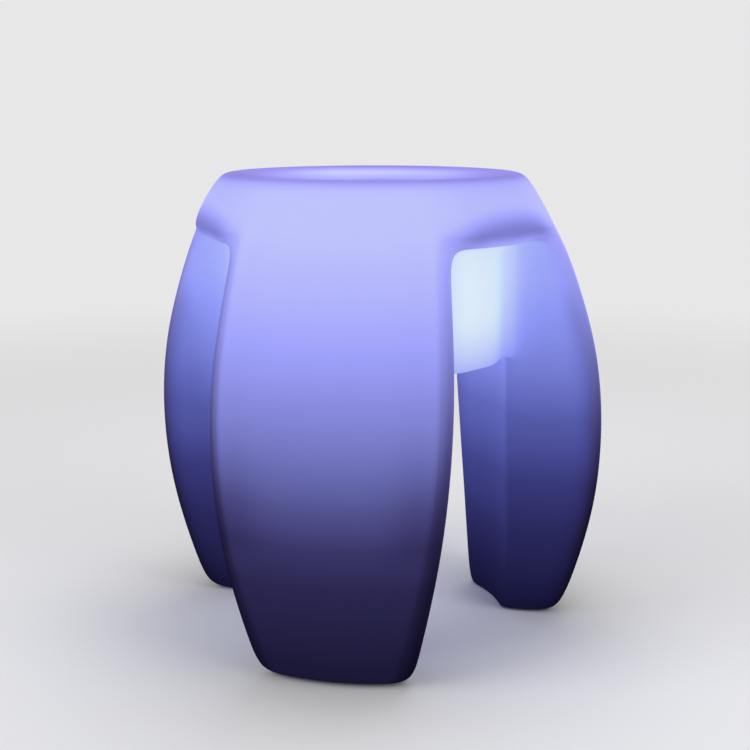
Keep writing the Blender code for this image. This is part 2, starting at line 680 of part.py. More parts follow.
# The rubber cover of the socket, its strap, and the tab that rivets it to the plate
COVER_RADIUS = 0.0076
COVER_THICKNESS = 0.0014
COVER_PLUG_RADIUS = 0.0026
COVER_PLUG_LENGTH = 0.0015
COVER_ARM = 0.0115
STRAP_WIDTH = 0.0050
STRAP_THICKNESS = 0.0009
COVER_OPENING = math.radians(120)
TAB_WIDTH = 0.0060
TAB_LENGTH = 0.0080
RIVET_RADIUS = 0.0011
RIVET_HEAD_RADIUS = 0.0021
RIVET_HEAD_HEIGHT = 0.0007
cover_top = flange_low - TOUCH
hinge_y = fitting_y + COVER_ARM
hinge_z = cover_top - COVER_THICKNESS / 2
tab_near = hinge_y + STRAP_THICKNESS / 2 + TOUCH
tab_low = cover_top - COVER_THICKNESS
rivet_y = tab_near + TAB_LENGTH / 2


def make_socket(parent):
    """The charging socket with its nut, and its rubber cover on a strap that bends open."""
    pin_tip = socket_bore_top - SOCKET_DEPTH * SOCKET_PIN_SHARE
    inside_points = [(SOCKET_BORE, flange_low), (SOCKET_BORE, socket_bore_top)]
    inside_points += [(SOCKET_PIN_RADIUS, socket_bore_top), (SOCKET_PIN_RADIUS, pin_tip), (0, pin_tip)]
    form = turned_form(barrel_outside(socket_top) + inside_points, BORE_SIDES)
    place = (0, fitting_y, 0)
    add_object("charging_socket", mesh_from(form, "socket"), BLACK_PLASTIC, place, parent)
    add_object("socket_nut", nut_mesh("socket_nut"), STEEL, (0, fitting_y, ON_PLATE), parent)

    half = COVER_THICKNESS / 2
    outline = [
        (0, half + COVER_PLUG_LENGTH),
        (COVER_PLUG_RADIUS, half + COVER_PLUG_LENGTH),
        (COVER_PLUG_RADIUS, half),
        (COVER_RADIUS, half),
        (COVER_RADIUS, -half),
        (0, -half),
    ]
    disc = mesh_from(turned_form(outline, BORE_SIDES, place=(0, -COVER_ARM)), "socket_cover")
    cover = add_object("socket_cover", disc, BLACK_RUBBER, (0, hinge_y, hinge_z), parent)
    low = (-STRAP_WIDTH / 2, COVER_PLUG_RADIUS - COVER_ARM, -STRAP_THICKNESS / 2)
    cut(cover, block_form(low, (STRAP_WIDTH / 2, -TOUCH / 2, STRAP_THICKNESS / 2)), "UNION")

    low = (-TAB_WIDTH / 2, tab_near, tab_low)
    high = (TAB_WIDTH / 2, tab_near + TAB_LENGTH, UNDER_PLATE)
    mesh = mesh_from(block_form(low, high), "cover_tab")
    tab = add_object("cover_tab", mesh, BLACK_RUBBER, parent=parent)
    hole = RIVET_RADIUS + TOUCH
    foot = tab_low - OVERRUN
    through = [(0, foot), (hole, foot), (hole, PLATE_TOP), (0, PLATE_TOP)]
    cut(tab, turned_form(through, SCREW_SIDES, place=(0, rivet_y)))
    # The tab's edge is cut back from the strap's way as it bends to its full opening
    clear = STRAP_THICKNESS / 2 + TOUCH
    way = block_form((-TAB_WIDTH, -COVER_ARM, -clear), (TAB_WIDTH, 0, clear))
    bent = Matrix.Translation((0, hinge_y, hinge_z)) @ Matrix.Rotation(COVER_OPENING, 4, "X")
    bmesh.ops.transform(way, matrix=bent, verts=way.verts)
    cut(tab, way)
    head_low = tab_low - TOUCH
    outline = [
        (0, head_low - RIVET_HEAD_HEIGHT),
        (RIVET_HEAD_RADIUS, head_low - RIVET_HEAD_HEIGHT),
        (RIVET_HEAD_RADIUS, head_low),
        (RIVET_RADIUS, head_low),
        (RIVET_RADIUS, ON_PLATE),
        (RIVET_HEAD_RADIUS, ON_PLATE),
        (RIVET_HEAD_RADIUS, ON_PLATE + RIVET_HEAD_HEIGHT),
        (0, ON_PLATE + RIVET_HEAD_HEIGHT),
    ]
    rivet = mesh_from(turned_form(outline, SCREW_SIDES), "cover_rivet")
    add_object("cover_rivet", rivet, STEEL, (0, rivet_y, 0), parent)


# The remote's receiver looks down through a small window in the plate
WINDOW_RADIUS = 0.0030
WINDOW_FLANGE_RADIUS = 0.0040
WINDOW_FLANGE_THICKNESS = 0.0012
WINDOW_X = 0.0200
RECEIVER_WIDTH = 0.0060
RECEIVER_DEPTH = 0.0045
RECEIVER_HEIGHT = 0.0065
RECEIVER_LEG = 0.0006
RECEIVER_PITCH = 0.0020
window_y = -(tray_y + WINDOW_FLANGE_RADIUS + NUT_MARGIN)


def make_receiver(parent):
    """The smoked window in the plate, and the receiver on it with three legs to the board."""
    outline = [
        (0, PLATE_BOTTOM),
        (WINDOW_FLANGE_RADIUS, PLATE_BOTTOM),
        (WINDOW_FLANGE_RADIUS, PLATE_BOTTOM + WINDOW_FLANGE_THICKNESS),
        (WINDOW_RADIUS, PLATE_BOTTOM + WINDOW_FLANGE_THICKNESS),
        (WINDOW_RADIUS, PLATE_TOP),
        (0, PLATE_TOP),
    ]
    window = mesh_from(turned_form(outline, BORE_SIDES), "receiver_window")
    add_object("receiver_window", window, SMOKED, (WINDOW_X, window_y, 0), parent)
    wide, deep = RECEIVER_WIDTH / 2, RECEIVER_DEPTH / 2
    body = mesh_from(block_form((-wide, -deep, 0), (wide, deep, RECEIVER_HEIGHT)), "receiver")
    place = (WINDOW_X, window_y, ON_PLATE)
    receiver = add_object("receiver", body, BLACK_PLASTIC, place, parent)
    legs, half = bmesh.new(), RECEIVER_LEG / 2
    for step in (-1, 0, 1):
        x = step * RECEIVER_PITCH
        low = (x - half, -half, RECEIVER_HEIGHT / 2)
        block_form(low, (x + half, half, board_low - TOUCH - ON_PLATE), legs)
    cut(receiver, legs, "UNION")


# The control board lies on the tray's pegs, over the switch, the socket and the receiver
BOARD_MARGIN = 0.0010
CHIP_WIDTH = 0.0090
CHIP_HEIGHT = 0.0014
board_x = peg_x + PEG_WIDTH / 2 + BOARD_MARGIN
board_y = fitting_y + BOARD_MARGIN


def make_control_board(parent):
    """The control board with its driver chip."""
    low, high = (-board_x, -board_y, board_low), (board_x, board_y, board_high)
    mesh = mesh_from(block_form(low, high), "control_board")
    board = add_object("control_board", mesh, GREEN_BOARD, parent=parent)
    holes, radius = bmesh.new(), PEG_PIN_RADIUS + TOUCH
    foot, top = board_low - OVERRUN, board_high + OVERRUN
    for place in pegs:
        turned_form([(0, foot), (radius, foot), (radius, top), (0, top)], SCREW_SIDES, holes, place)
    cut(board, holes)
    half, low = CHIP_WIDTH / 2, board_high + TOUCH
    chip = mesh_from(block_form((-half, -half, low), (half, half, low + CHIP_HEIGHT)), "chip")
    add_object("driver_chip", chip, BLACK_PLASTIC, parent=parent)


# The dome stands inside the opening
DOME_CLEARANCE = 0.0015
DOME_FLANGE_WIDTH = 0.0030
DOME_FLANGE_THICKNESS = 0.0020
DOME_WALL = 0.0022
DOME_SIDE_HEIGHT = 0.0440
DOME_CAP_HEIGHT = 0.0300
DOME_CAP_STEPS = 5
DOME_SIDES = 32
dome_flange = OPENING_RADIUS - DOME_CLEARANCE
dome_radius = dome_flange - DOME_FLANGE_WIDTH
dome_inside = dome_radius - DOME_WALL


def make_dome(parent):
    """The opal dome over the lamps: a flanged tube with a quarter-ellipse cap."""
    shoulder = ON_PLATE + DOME_SIDE_HEIGHT
    turns = [math.pi / 2 * step / DOME_CAP_STEPS for step in range(DOME_CAP_STEPS + 1)]
    outside = [
        (dome_radius * math.sin(turn), shoulder + DOME_CAP_HEIGHT * math.cos(turn))
        for turn in turns
    ]
    cap_inside = DOME_CAP_HEIGHT - DOME_WALL
    inside_cap = [
        (dome_inside * math.sin(turn), shoulder + cap_inside * math.cos(turn))
        for turn in reversed(turns)
    ]
    flange_top = ON_PLATE + DOME_FLANGE_THICKNESS
    foot = [
        (dome_radius, flange_top),
        (dome_flange, flange_top),
        (dome_flange, ON_PLATE),
        (dome_inside, ON_PLATE),
    ]
    outline = outside + foot + inside_cap
    outline[0], outline[-1] = (0, outline[0][1]), (0, outline[-1][1])
    mesh = mesh_from(turned_form(outline, DOME_SIDES), "dome_diffuser")
    add_object("dome_diffuser", mesh, OPAL, parent=parent)


# The lamp board on its three posts, and the lamps in two rings on it
LAMP_BOARD_INSET = 0.0045
LAMP_BOARD_THICKNESS = 0.0020
LAMP_BOARD_GAP = 0.0080
POST_COUNT = 3
POST_RADIUS = 0.0032
POST_INSET = 0.0060
POST_BORE_DEPTH = 0.0070
BOARD_SCREW_RADIUS = 0.0014
BOARD_SCREW_HEAD_RADIUS = 0.0027
BOARD_SCREW_HEAD_HEIGHT = 0.0016
BOARD_SCREW_LENGTH = 0.0075
OUTER_LAMPS = 8
INNER_LAMPS = 4
LAMP_RING_SHARES = {OUTER_LAMPS: 0.70, INNER_LAMPS: 0.32}
LAMP_WIDTH = 0.0050
LAMP_HEIGHT = 0.0016
LAMP_RIM = 0.0005
LAMP_HOLLOW = 0.0003
lamp_board_radius = dome_inside - LAMP_BOARD_INSET
lamp_board_low = board_high + LAMP_BOARD_GAP
lamp_board_high = lamp_board_low + LAMP_BOARD_THICKNESS
post_places = round_the_axis(POST_COUNT, lamp_board_radius - POST_INSET)


def make_lamp_board(parent):
    """The aluminium lamp board, screwed down on three posts."""
    low, high, radius = lamp_board_low, lamp_board_high, lamp_board_radius
    disc = turned_form([(0, low), (radius, low), (radius, high), (0, high)], DOME_SIDES)
    board = add_object("lamp_board", mesh_from(disc, "lamp_board"), ALUMINIUM, parent=parent)
    holes, hole = bmesh.new(), BOARD_SCREW_RADIUS + TOUCH
    foot, top = low - OVERRUN, high + OVERRUN
    for place in post_places:
        turned_form([(0, foot), (hole, foot), (hole, top), (0, top)], SCREW_SIDES, holes, place)
    cut(board, holes)
    post_high = low - TOUCH
    outline = [
        (0, ON_PLATE),
        (POST_RADIUS, ON_PLATE),
        (POST_RADIUS, post_high),
        (hole, post_high),
        (hole, post_high - POST_BORE_DEPTH),
        (0, post_high - POST_BORE_DEPTH),
    ]
    post = mesh_from(turned_form(outline, SCREW_SIDES), "board_post")
    screw = screw_mesh(
        "board_screw",
        BOARD_SCREW_RADIUS,
        BOARD_SCREW_HEAD_RADIUS,
        BOARD_SCREW_HEAD_HEIGHT,
        BOARD_SCREW_LENGTH,
        False,
    )
    for number, place in enumerate(post_places, 1):
        add_object(f"board_post_{number}", post, BRASS, (*place, 0), parent)
        add_object(f"board_screw_{number}", screw, STEEL, (*place, high + TOUCH), parent)


def make_lamps(parent):
    """Twelve lamp packages: square blocks whose tops are sunk within a narrow rim."""
    half = LAMP_WIDTH / 2
    form = block_form((-half, -half, 0), (half, half, LAMP_HEIGHT))
    form.faces.ensure_lookup_table()
    top = max(form.faces, key=lambda face: face.calc_center_median().z)
    bmesh.ops.inset_region(form, faces=[top], thickness=LAMP_RIM, depth=-LAMP_HOLLOW)
    lamp = mesh_from(form, "lamp")
    number = 0
    for count, share in LAMP_RING_SHARES.items():
        for place in round_the_axis(count, lamp_board_radius * share, math.pi / count):
            number += 1
            place = (*place, lamp_board_high + TOUCH)
            add_object(f"lamp_{number:02d}", lamp, LED_WHITE, place, parent)


# Short two-core leads between the electrical pieces, and their tightest bend
LEAD_RADIUS = 0.0012
LEAD_BEND = 0.0024
LEAD_STEPS = 6


def add_lead(name, place, low, high, parent):
    """A lead between two heights at one place, straight at its ends and bowed between them."""
    straight = 2 * LEAD_RADIUS
    free = high - low - 2 * straight
    share = np.linspace(0, 1, LEAD_STEPS + 1)
    rise = low + straight + free * share
    bow = free**2 / (2 * math.pi**2 * LEAD_BEND) * np.sin(math.pi * share) ** 2
    points = np.stack([place[0] + bow, place[1] + 0 * bow, rise], axis=1)
    points = np.concatenate([[(*place, low)], points, [(*place, high)]])
    curve = bpy.data.curves.new(name, "CURVE")
    curve.dimensions = "3D"
    curve.bevel_depth = LEAD_RADIUS
    curve.bevel_resolution = 1
    curve.use_fill_caps = True
    set_route(curve, points)
    add_object(name, curve, BLACK_RUBBER, parent=parent)


def make_leads(parent):
    """Leads from the switch, the socket and the cells to the control board, and on to the lamps."""
    below = board_low - TOUCH
    add_lead("switch_lead", (0, -fitting_y + BOARD_MARGIN), switch_top + TOUCH, below, parent)
    add_lead("charge_lead", (0, fitting_y - BOARD_MARGIN), socket_top + TOUCH, below, parent)
    lamp_foot = (CHIP_WIDTH + LEAD_BEND, 0)
    add_lead("lamp_lead", lamp_foot, board_high + TOUCH, lamp_board_low - TOUCH, parent)


def drill(form, foot, step, top, wide, narrow, segments, place):
    """Adds a round hole's cutter, wide up to the step's height and narrow above it."""
    outline = [(0, foot), (wide, foot)]
    if wide > narrow:
        outline += [(wide, step), (narrow, step)]
    turned_form(outline + [(narrow, top), (0, top)], segments, form, place)


def base_plate_holes():
    """All the holes in the base plate: six for screws, and those for what is mounted on it."""
    holes = bmesh.new()
    foot, top = PLATE_BOTTOM - OVERRUN, PLATE_TOP + OVERRUN
    wide, narrow = SCREW_HEAD_RADIUS + COUNTERBORE_CLEARANCE, SCREW_RADIUS + TOUCH
    for place in round_the_axis(BASE_SCREW_COUNT, SCREW_CIRCLE):
        drill(holes, foot, screw_seat, top, wide, narrow, SCREW_SIDES, place)
    radius = BARREL_RADIUS + TOUCH
    for side in (-1, 1):
        drill(holes, foot, PLATE_BOTTOM, top, radius, radius, BORE_SIDES, (0, side * fitting_y))
    wide, narrow = WINDOW_FLANGE_RADIUS + TOUCH, WINDOW_RADIUS + TOUCH
    step = PLATE_BOTTOM + WINDOW_FLANGE_THICKNESS + TOUCH
    drill(holes, foot, step, top, wide, narrow, BORE_SIDES, (WINDOW_X, window_y))
    radius = RIVET_RADIUS + TOUCH
    drill(holes, foot, PLATE_BOTTOM, top, radius, radius, SCREW_SIDES, (0, rivet_y))
    return holes


PLATE_CHAMFER = 0.0010


def make_base_plate(parent):
    """The moulded plate that closes the hub, with the gasket's groove in its top."""
    groove_in = OPENING_RADIUS + GASKET_INSET - TOUCH
    groove_out = groove_in + GASKET_WIDTH + 2 * TOUCH
    groove_low = PLATE_TOP - GASKET_HEIGHT - TOUCH
    outline = [
        (0, PLATE_BOTTOM),
        (PLATE_RADIUS - PLATE_CHAMFER, PLATE_BOTTOM),
        (PLATE_RADIUS, PLATE_BOTTOM + PLATE_CHAMFER),
        (PLATE_RADIUS, PLATE_TOP),
        (groove_out, PLATE_TOP),
        (groove_out, groove_low),
        (groove_in, groove_low),
        (groove_in, PLATE_TOP),
        (0, PLATE_TOP),
    ]
    mesh = mesh_from(turned_form(outline, RING_SIDES), "base_plate")
    plate = add_object("base_plate", mesh, PALE_PLASTIC, parent=parent)
    cut(plate, base_plate_holes())


for leftover in list(bpy.data.objects):
    bpy.data.objects.remove(leftover)
seat_axis = bpy.data.objects.new("seat_axis", None)
bpy.context.scene.collection.objects.link(seat_axis)
seat_axis.location = (0, SEAT_AXIS_Y, 0)
for make in (
    make_shell,
    make_base_plate,
    make_gasket,
    make_base_screws,
    make_battery,
    make_switch,
    make_socket,
    make_receiver,
    make_control_board,
    make_lamp_board,
    make_lamps,
    make_leads,
    make_dome,
):
    make(seat_axis)
for piece in seat_axis.children:
    if any(change.type == "BOOLEAN" for change in piece.modifiers):
        shading = piece.modifiers.new("shading", "WEIGHTED_NORMAL")
        shading.keep_sharp = True
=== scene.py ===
"""Light-up stool: the moulded shell glowing violet blue, and the lamp unit that closes its hub."""

import math

import bmesh
import bpy
import numpy as np
from mathutils import Matrix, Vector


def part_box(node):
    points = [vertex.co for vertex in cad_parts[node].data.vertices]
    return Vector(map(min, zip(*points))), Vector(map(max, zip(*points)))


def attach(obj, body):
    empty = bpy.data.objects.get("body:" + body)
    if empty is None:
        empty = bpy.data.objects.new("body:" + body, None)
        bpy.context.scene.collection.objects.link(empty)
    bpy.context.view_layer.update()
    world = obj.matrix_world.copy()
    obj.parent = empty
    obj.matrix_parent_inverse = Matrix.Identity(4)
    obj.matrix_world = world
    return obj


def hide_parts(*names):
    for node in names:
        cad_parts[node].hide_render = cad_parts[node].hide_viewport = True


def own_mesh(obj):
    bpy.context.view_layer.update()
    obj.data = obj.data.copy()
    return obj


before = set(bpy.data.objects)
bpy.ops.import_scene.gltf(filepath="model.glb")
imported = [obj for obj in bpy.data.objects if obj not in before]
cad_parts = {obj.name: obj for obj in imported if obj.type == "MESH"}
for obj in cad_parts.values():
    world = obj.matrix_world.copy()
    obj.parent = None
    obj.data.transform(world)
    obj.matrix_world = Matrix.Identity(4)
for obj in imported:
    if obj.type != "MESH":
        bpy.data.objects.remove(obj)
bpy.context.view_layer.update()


# Camera
# It stands where the photograph was taken from: a step back from the front leg and a little to
# the right of it, just above the seat and tilted down. Its place is given from the seat's axis,
# which stands upright through the middle of the base plate.
plate_low, plate_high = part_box("base_plate")
AXIS_Y = (plate_low.y + plate_high.y) / 2
CAMERA_DISTANCE = 1.24764
CAMERA_HEIGHT = 0.49814
CAMERA_ASIDE = 0.00191
CAMERA_TURN = math.radians(11.3126)
CAMERA_TILT = math.radians(11.6847)
SENSOR_WIDTH = 36
PICTURE_WIDTH = 750
FOCUS_IN_PIXELS = 1320.15

view = bpy.data.cameras.new("view")
view.sensor_width = SENSOR_WIDTH
view.lens = FOCUS_IN_PIXELS * SENSOR_WIDTH / PICTURE_WIDTH
camera = bpy.data.objects.new("view", view)
bpy.context.scene.collection.objects.link(camera)
camera.matrix_world = (
    Matrix.Translation((0, AXIS_Y, 0))
    @ Matrix.Rotation(CAMERA_TURN, 4, "Z")
    @ Matrix.Translation((CAMERA_ASIDE, -CAMERA_DISTANCE, CAMERA_HEIGHT))
    @ Matrix.Rotation(math.pi / 2 - CAMERA_TILT, 4, "X")
)
bpy.context.scene.camera = camera


# Shell
# One hollow moulding of translucent polyethylene: a round dished seat with a rolled lip, a hub
# below it and three broad legs, all with soft corners. It is cast in a turning mould, so its
# wall is even and its skin seamless, with the faint unevenness of the mould's blasted face.
SEAT_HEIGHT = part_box("shell")[1].z
BELLY_RADIUS = 0.2195
BELLY_SHARE = 0.4217
RIM_INSET = 0.0788
FOOT_INSET = 0.0347
LIP_DROP = 0.058
HUB_DROP = 0.170
HUB_RADIUS = 0.1267
FOOT_INNER_RADIUS = 0.1275
CREST_RADIUS = 0.132
DISH_DEPTH = 0.013
SHELL_WALL = 0.004
LEG_COUNT = 3
SECTOR = math.tau / LEG_COUNT
# The belly is at a share of the seat's height, and the lip and the hub's underside hang from
# it. Seen from the side, the barrel is one arc above the belly and another below it.
BELLY_HEIGHT = SEAT_HEIGHT * BELLY_SHARE
LIP_HEIGHT = SEAT_HEIGHT - LIP_DROP
HUB_HEIGHT = SEAT_HEIGHT - HUB_DROP
UPPER_ARC = ((SEAT_HEIGHT - BELLY_HEIGHT) ** 2 + RIM_INSET**2) / (2 * RIM_INSET)
LOWER_ARC = (BELLY_HEIGHT**2 + FOOT_INSET**2) / (2 * FOOT_INSET)
# A leg's flat sides: their angle to its middle, and how far each stands off the seat's axis at
# the floor, at half the seat's height and at the lip
LEG_SIDE_ANGLE = math.radians(29.4)
SIDE_HEIGHTS = (0, SEAT_HEIGHT / 2, LIP_HEIGHT)
SIDE_OFFSETS = (-0.0196, 0.0016, 0.0139)
# How far the roundings reach from the edges that they soften
LEG_EDGE_REACH = 0.034
SIDE_REACH = 0.027
INNER_EDGE_REACH = 0.020
GAP_EDGE_REACH = 0.030
LIP_REACH = 0.031
FOOT_REACH = 0.038
HUB_EDGE_REACH = 0.012
CEILING_REACH = 0.014
# How far the lip is drawn in and up between the legs, where its rounding is fuller
LIP_ROLL = 0.0055
# The most of half a leg, or of a wall, that one rounding takes, and how far the inner edges of
# the feet and the corners of the recess resist theirs, from 0 to 1
NARROW_SHARE = 0.4
FOOT_CREASE = 0.4
RECESS_CREASE = 1.0
# The recess for the base plate, which it clears above and all round, and the opening in its floor
PLATE_HEADROOM = 0.0003
PLATE_CLEARANCE = 0.0006
RECESS_FLOOR = plate_high.z + PLATE_HEADROOM
RECESS_RADIUS = (plate_high.x - plate_low.x) / 2 + PLATE_CLEARANCE
OPENING_RADIUS = 0.066
# Control points of one sector: the columns round it, with those of the leg and of the gap, and
# the rows down a leg between its roundings. The hub ends at a row of the inner side.
COLUMNS = 8
LEG = slice(0, 5)
LEG_MIDDLE = 2
GAP = slice(4, 9)
LEG_ROWS = 6
HUB_ROW = 3
# Points as near as this are one point, and the surface between them is halved so many times
SAME_PLACE = 0.0003
ROUNDING_LEVELS = 3


def barrel_radius(height):
    """Outer radius at a height: an upright arc, widest at the belly."""
    height = np.asarray(height, float)
    arc = np.where(height > BELLY_HEIGHT, UPPER_ARC, LOWER_ARC)
    return BELLY_RADIUS - arc + np.sqrt(arc**2 - (height - BELLY_HEIGHT) ** 2)


def inner_radius(height):
    """Radius of the hub's wall, and below the hub that of the legs' inner faces, which lean out."""
    below = np.clip(1 - np.asarray(height) / HUB_HEIGHT, 0, 1)
    return HUB_RADIUS + (FOOT_INNER_RADIUS - HUB_RADIUS) * below


def edge_angle(radius, height):
    """Angle from a leg's middle to its side: a plane that stands off the axis by a parabola."""
    offset = np.polyval(np.polyfit(SIDE_HEIGHTS, SIDE_OFFSETS, 2), height)
    return LEG_SIDE_ANGLE + np.arcsin(offset / radius)


def column_angles(radius, height, evenness):
    """Angles of a sector's columns, from one leg's edge to the next one's.

    They are measured round the seat's axis from the middle of the front leg, which points
    towards -Y. At evenness 0 the second column from each edge lies one rounding's reach away
    from it. At evenness 1 all of them are spread evenly, as on the seat and round the recess.
    """
    edge = edge_angle(radius, height)
    leg_step = np.minimum(LEG_EDGE_REACH / radius, edge * NARROW_SHARE)
    gap_step = GAP_EDGE_REACH / radius
    middle = np.zeros_like(edge)
    on_leg = [-edge, leg_step - edge, middle, edge - leg_step, edge]
    on_gap = [edge + gap_step, middle + SECTOR / 2, SECTOR - edge - gap_step, SECTOR - edge]
    placed = np.stack(on_leg + on_gap, axis=-1)
    even = (np.arange(COLUMNS + 1) - LEG_MIDDLE) * SECTOR / COLUMNS
    share = np.asarray(evenness)[..., None]
    return placed * (1 - share) + even * share


def on_rings(radii, heights, columns=slice(None), evenness=0.0):
    """A grid of points: row by row a radius and a height, and across it the columns' angles."""
    radii, heights = np.broadcast_arrays(np.asarray(radii, float), np.asarray(heights, float))
    angles = column_angles(radii, heights, np.broadcast_to(evenness, radii.shape))[..., columns]
    radii, heights = radii[..., None], heights[..., None] + 0 * angles
    return np.stack([radii * np.sin(angles), -radii * np.cos(angles), heights], axis=-1)


def inside(rows, columns, edges=(1, 1)):
    """Marks a grid's points off its borders: those that the finished surface passes through."""
    marks = np.zeros((rows, columns), bool)
    marks[edges[0] : rows - edges[0], edges[1] : columns - edges[1]] = True
    return marks


def across(outer, inner, inner_reach):
    """Four radii over a wall, from its outer to its inner edge, the middle two at the roundings."""
    most = (outer - inner) * NARROW_SHARE
    near_outer = outer - np.minimum(SIDE_REACH, most)
    near_inner = inner + np.minimum(inner_reach, most)
    return np.stack([outer, near_outer, near_inner, inner], axis=-1)


def shell_patches():
    """One sector of the skin, as grids of points with a mark for each point.

    The crown covers the seat down to the lip. Below it a leg has an outer face, an inner face,
    a foot and two sides, and a gap has the lip's underside and the hub's wall. The ceiling is
    the hub's underside with its stepped recess, up to the edge of the opening.
    """
    shoulder_shares = np.array([0, 0.44, 0.86])
    shoulder = LIP_HEIGHT + shoulder_shares * (SEAT_HEIGHT - LIP_HEIGHT)
    dish_shares = np.array([0.40, 0.92, 1.0])
    dish_radius_shares = np.array([0.81, 0.5, 0.18])
    crown_radii = np.concatenate(
        [barrel_radius(shoulder), [CREST_RADIUS], CREST_RADIUS * dish_radius_shares]
    )
    dish_heights = SEAT_HEIGHT - DISH_DEPTH * dish_shares
    crown_heights = np.concatenate([shoulder, [SEAT_HEIGHT], dish_heights])
    evenness_shares = np.array([0, 0.3, 0.6, 0.9, 1, 1, 1])
    crown = on_rings(crown_radii, crown_heights, evenness=evenness_shares)
    crown_marks = inside(*crown.shape[:2], edges=(1, 0))
    # Over a leg the crown's lower border is no edge: it runs on smoothly into the outer face
    crown_marks[0, 1:4] = True

    outer_rows = np.linspace(LIP_HEIGHT - LIP_REACH, FOOT_REACH, LEG_ROWS)
    outer_rows = np.concatenate([[LIP_HEIGHT], outer_rows, [0]])
    hub_rows = [LIP_HEIGHT, LIP_HEIGHT - LIP_REACH, HUB_HEIGHT + HUB_EDGE_REACH, HUB_HEIGHT]
    below_hub = HUB_HEIGHT - CEILING_REACH
    inner_rows = np.array(hub_rows + [below_hub, (below_hub + FOOT_REACH) / 2, FOOT_REACH, 0])
    outer = on_rings(barrel_radius(outer_rows), outer_rows, LEG)
    leg_rows = inner_rows[HUB_ROW:]
    inner = on_rings(inner_radius(leg_rows), leg_rows, LEG)
    foot = on_rings(across(barrel_radius(0), inner_radius(0), INNER_EDGE_REACH), 0, LEG)

    inner_reach = np.where(inner_rows < HUB_HEIGHT, INNER_EDGE_REACH, SIDE_REACH)
    side_radii = across(barrel_radius(outer_rows), inner_radius(inner_rows), inner_reach)
    width = side_radii[:, :1] - side_radii[:, -1:]
    share = (side_radii[:, :1] - side_radii) / width
    side_heights = outer_rows[:, None] * (1 - share) + inner_rows[:, None] * share
    sides = on_rings(side_radii, side_heights, LEG)

    lip = on_rings(across(barrel_radius(LIP_HEIGHT), HUB_RADIUS, SIDE_REACH), LIP_HEIGHT, GAP)
    wall = on_rings(HUB_RADIUS, np.array(hub_rows), GAP)
    # The crown and the lip's underside share the edge that is drawn in and up over a gap
    for shared_edge in (crown[0, 5:8], lip[0, 1:4]):
        shared_edge[:, :2] *= 1 - LIP_ROLL / barrel_radius(LIP_HEIGHT)
        shared_edge[:, 2] += LIP_ROLL

    # A ring of evenly spread control points gives a circle this much smaller than itself
    ring_share = (2 + math.cos(SECTOR / COLUMNS)) / 3
    recess, opening = RECESS_RADIUS / ring_share, OPENING_RADIUS / ring_share
    flat = (HUB_RADIUS + RECESS_RADIUS) / 2 + HUB_EDGE_REACH / 2
    ceiling_radii = [HUB_RADIUS, flat, recess, recess, opening]
    ceiling_heights = [HUB_HEIGHT, HUB_HEIGHT, HUB_HEIGHT, RECESS_FLOOR, RECESS_FLOOR]
    evenness_shares = np.array([0, 0.5, 1, 1, 1])
    ceiling = on_rings(ceiling_radii, ceiling_heights, evenness=evenness_shares)
    ceiling_marks = np.zeros(ceiling.shape[:2], bool)
    ceiling_marks[1] = True

    plain = [outer, inner, foot, sides[..., 0, :], sides[..., -1, :], lip, wall]
    marked = [(grid, inside(*grid.shape[:2])) for grid in plain]
    return [(crown, crown_marks), (ceiling, ceiling_marks)] + marked


def limit_weights(quads, count):
    """Weights of the control points in the place that each one settles to on the smooth surface.

    A point with n faces round it takes n squared of itself, 4 of each neighbour along an edge
    and 1 of each opposite corner, over n (n + 5). An edge is met once from each of its faces.
    """
    weights = np.zeros((count, count))
    faces_round = np.zeros(count)
    for turn in range(4):
        corner, after, opposite, before = np.roll(quads, turn, axis=1).T
        np.add.at(weights, (corner, after), 2)
        np.add.at(weights, (corner, before), 2)
        np.add.at(weights, (corner, opposite), 1)
        np.add.at(faces_round, corner, 1)
    weights /= (faces_round * (faces_round + 5))[:, None]
    weights[np.arange(count), np.arange(count)] += faces_round / (faces_round + 5)
    return weights


def turn_faces_out(mesh, merge_within=None):
    """Turns a mesh's faces outwards, once any points nearer to each other than this are merged."""
    form = bmesh.new()
    form.from_mesh(mesh)
    if merge_within:
        bmesh.ops.remove_doubles(form, verts=form.verts, dist=merge_within)
    bmesh.ops.recalc_face_normals(form, faces=form.faces)
    form.to_mesh(mesh)
    form.free()


def crease_edges(mesh, creases):
    """Makes edges resist the rounding: lists of edges, as pairs of points, each with an amount.

    An edge is found by one number made of its two points' own: the lower times the count of
    all points, plus the higher.
    """
    key = (len(mesh.vertices), 1)
    ends = np.empty(2 * len(mesh.edges), np.int32)
    mesh.edges.foreach_get("vertices", ends)
    keys = np.sort(ends.reshape(-1, 2), axis=1) @ key
    sharp = np.zeros(len(keys), np.float32)
    for pairs, amount in creases:
        sharp[np.isin(keys, np.sort(pairs, axis=1) @ key)] = amount
    mesh.attributes.new("crease_edge", "FLOAT", "EDGE").data.foreach_set("value", sharp)


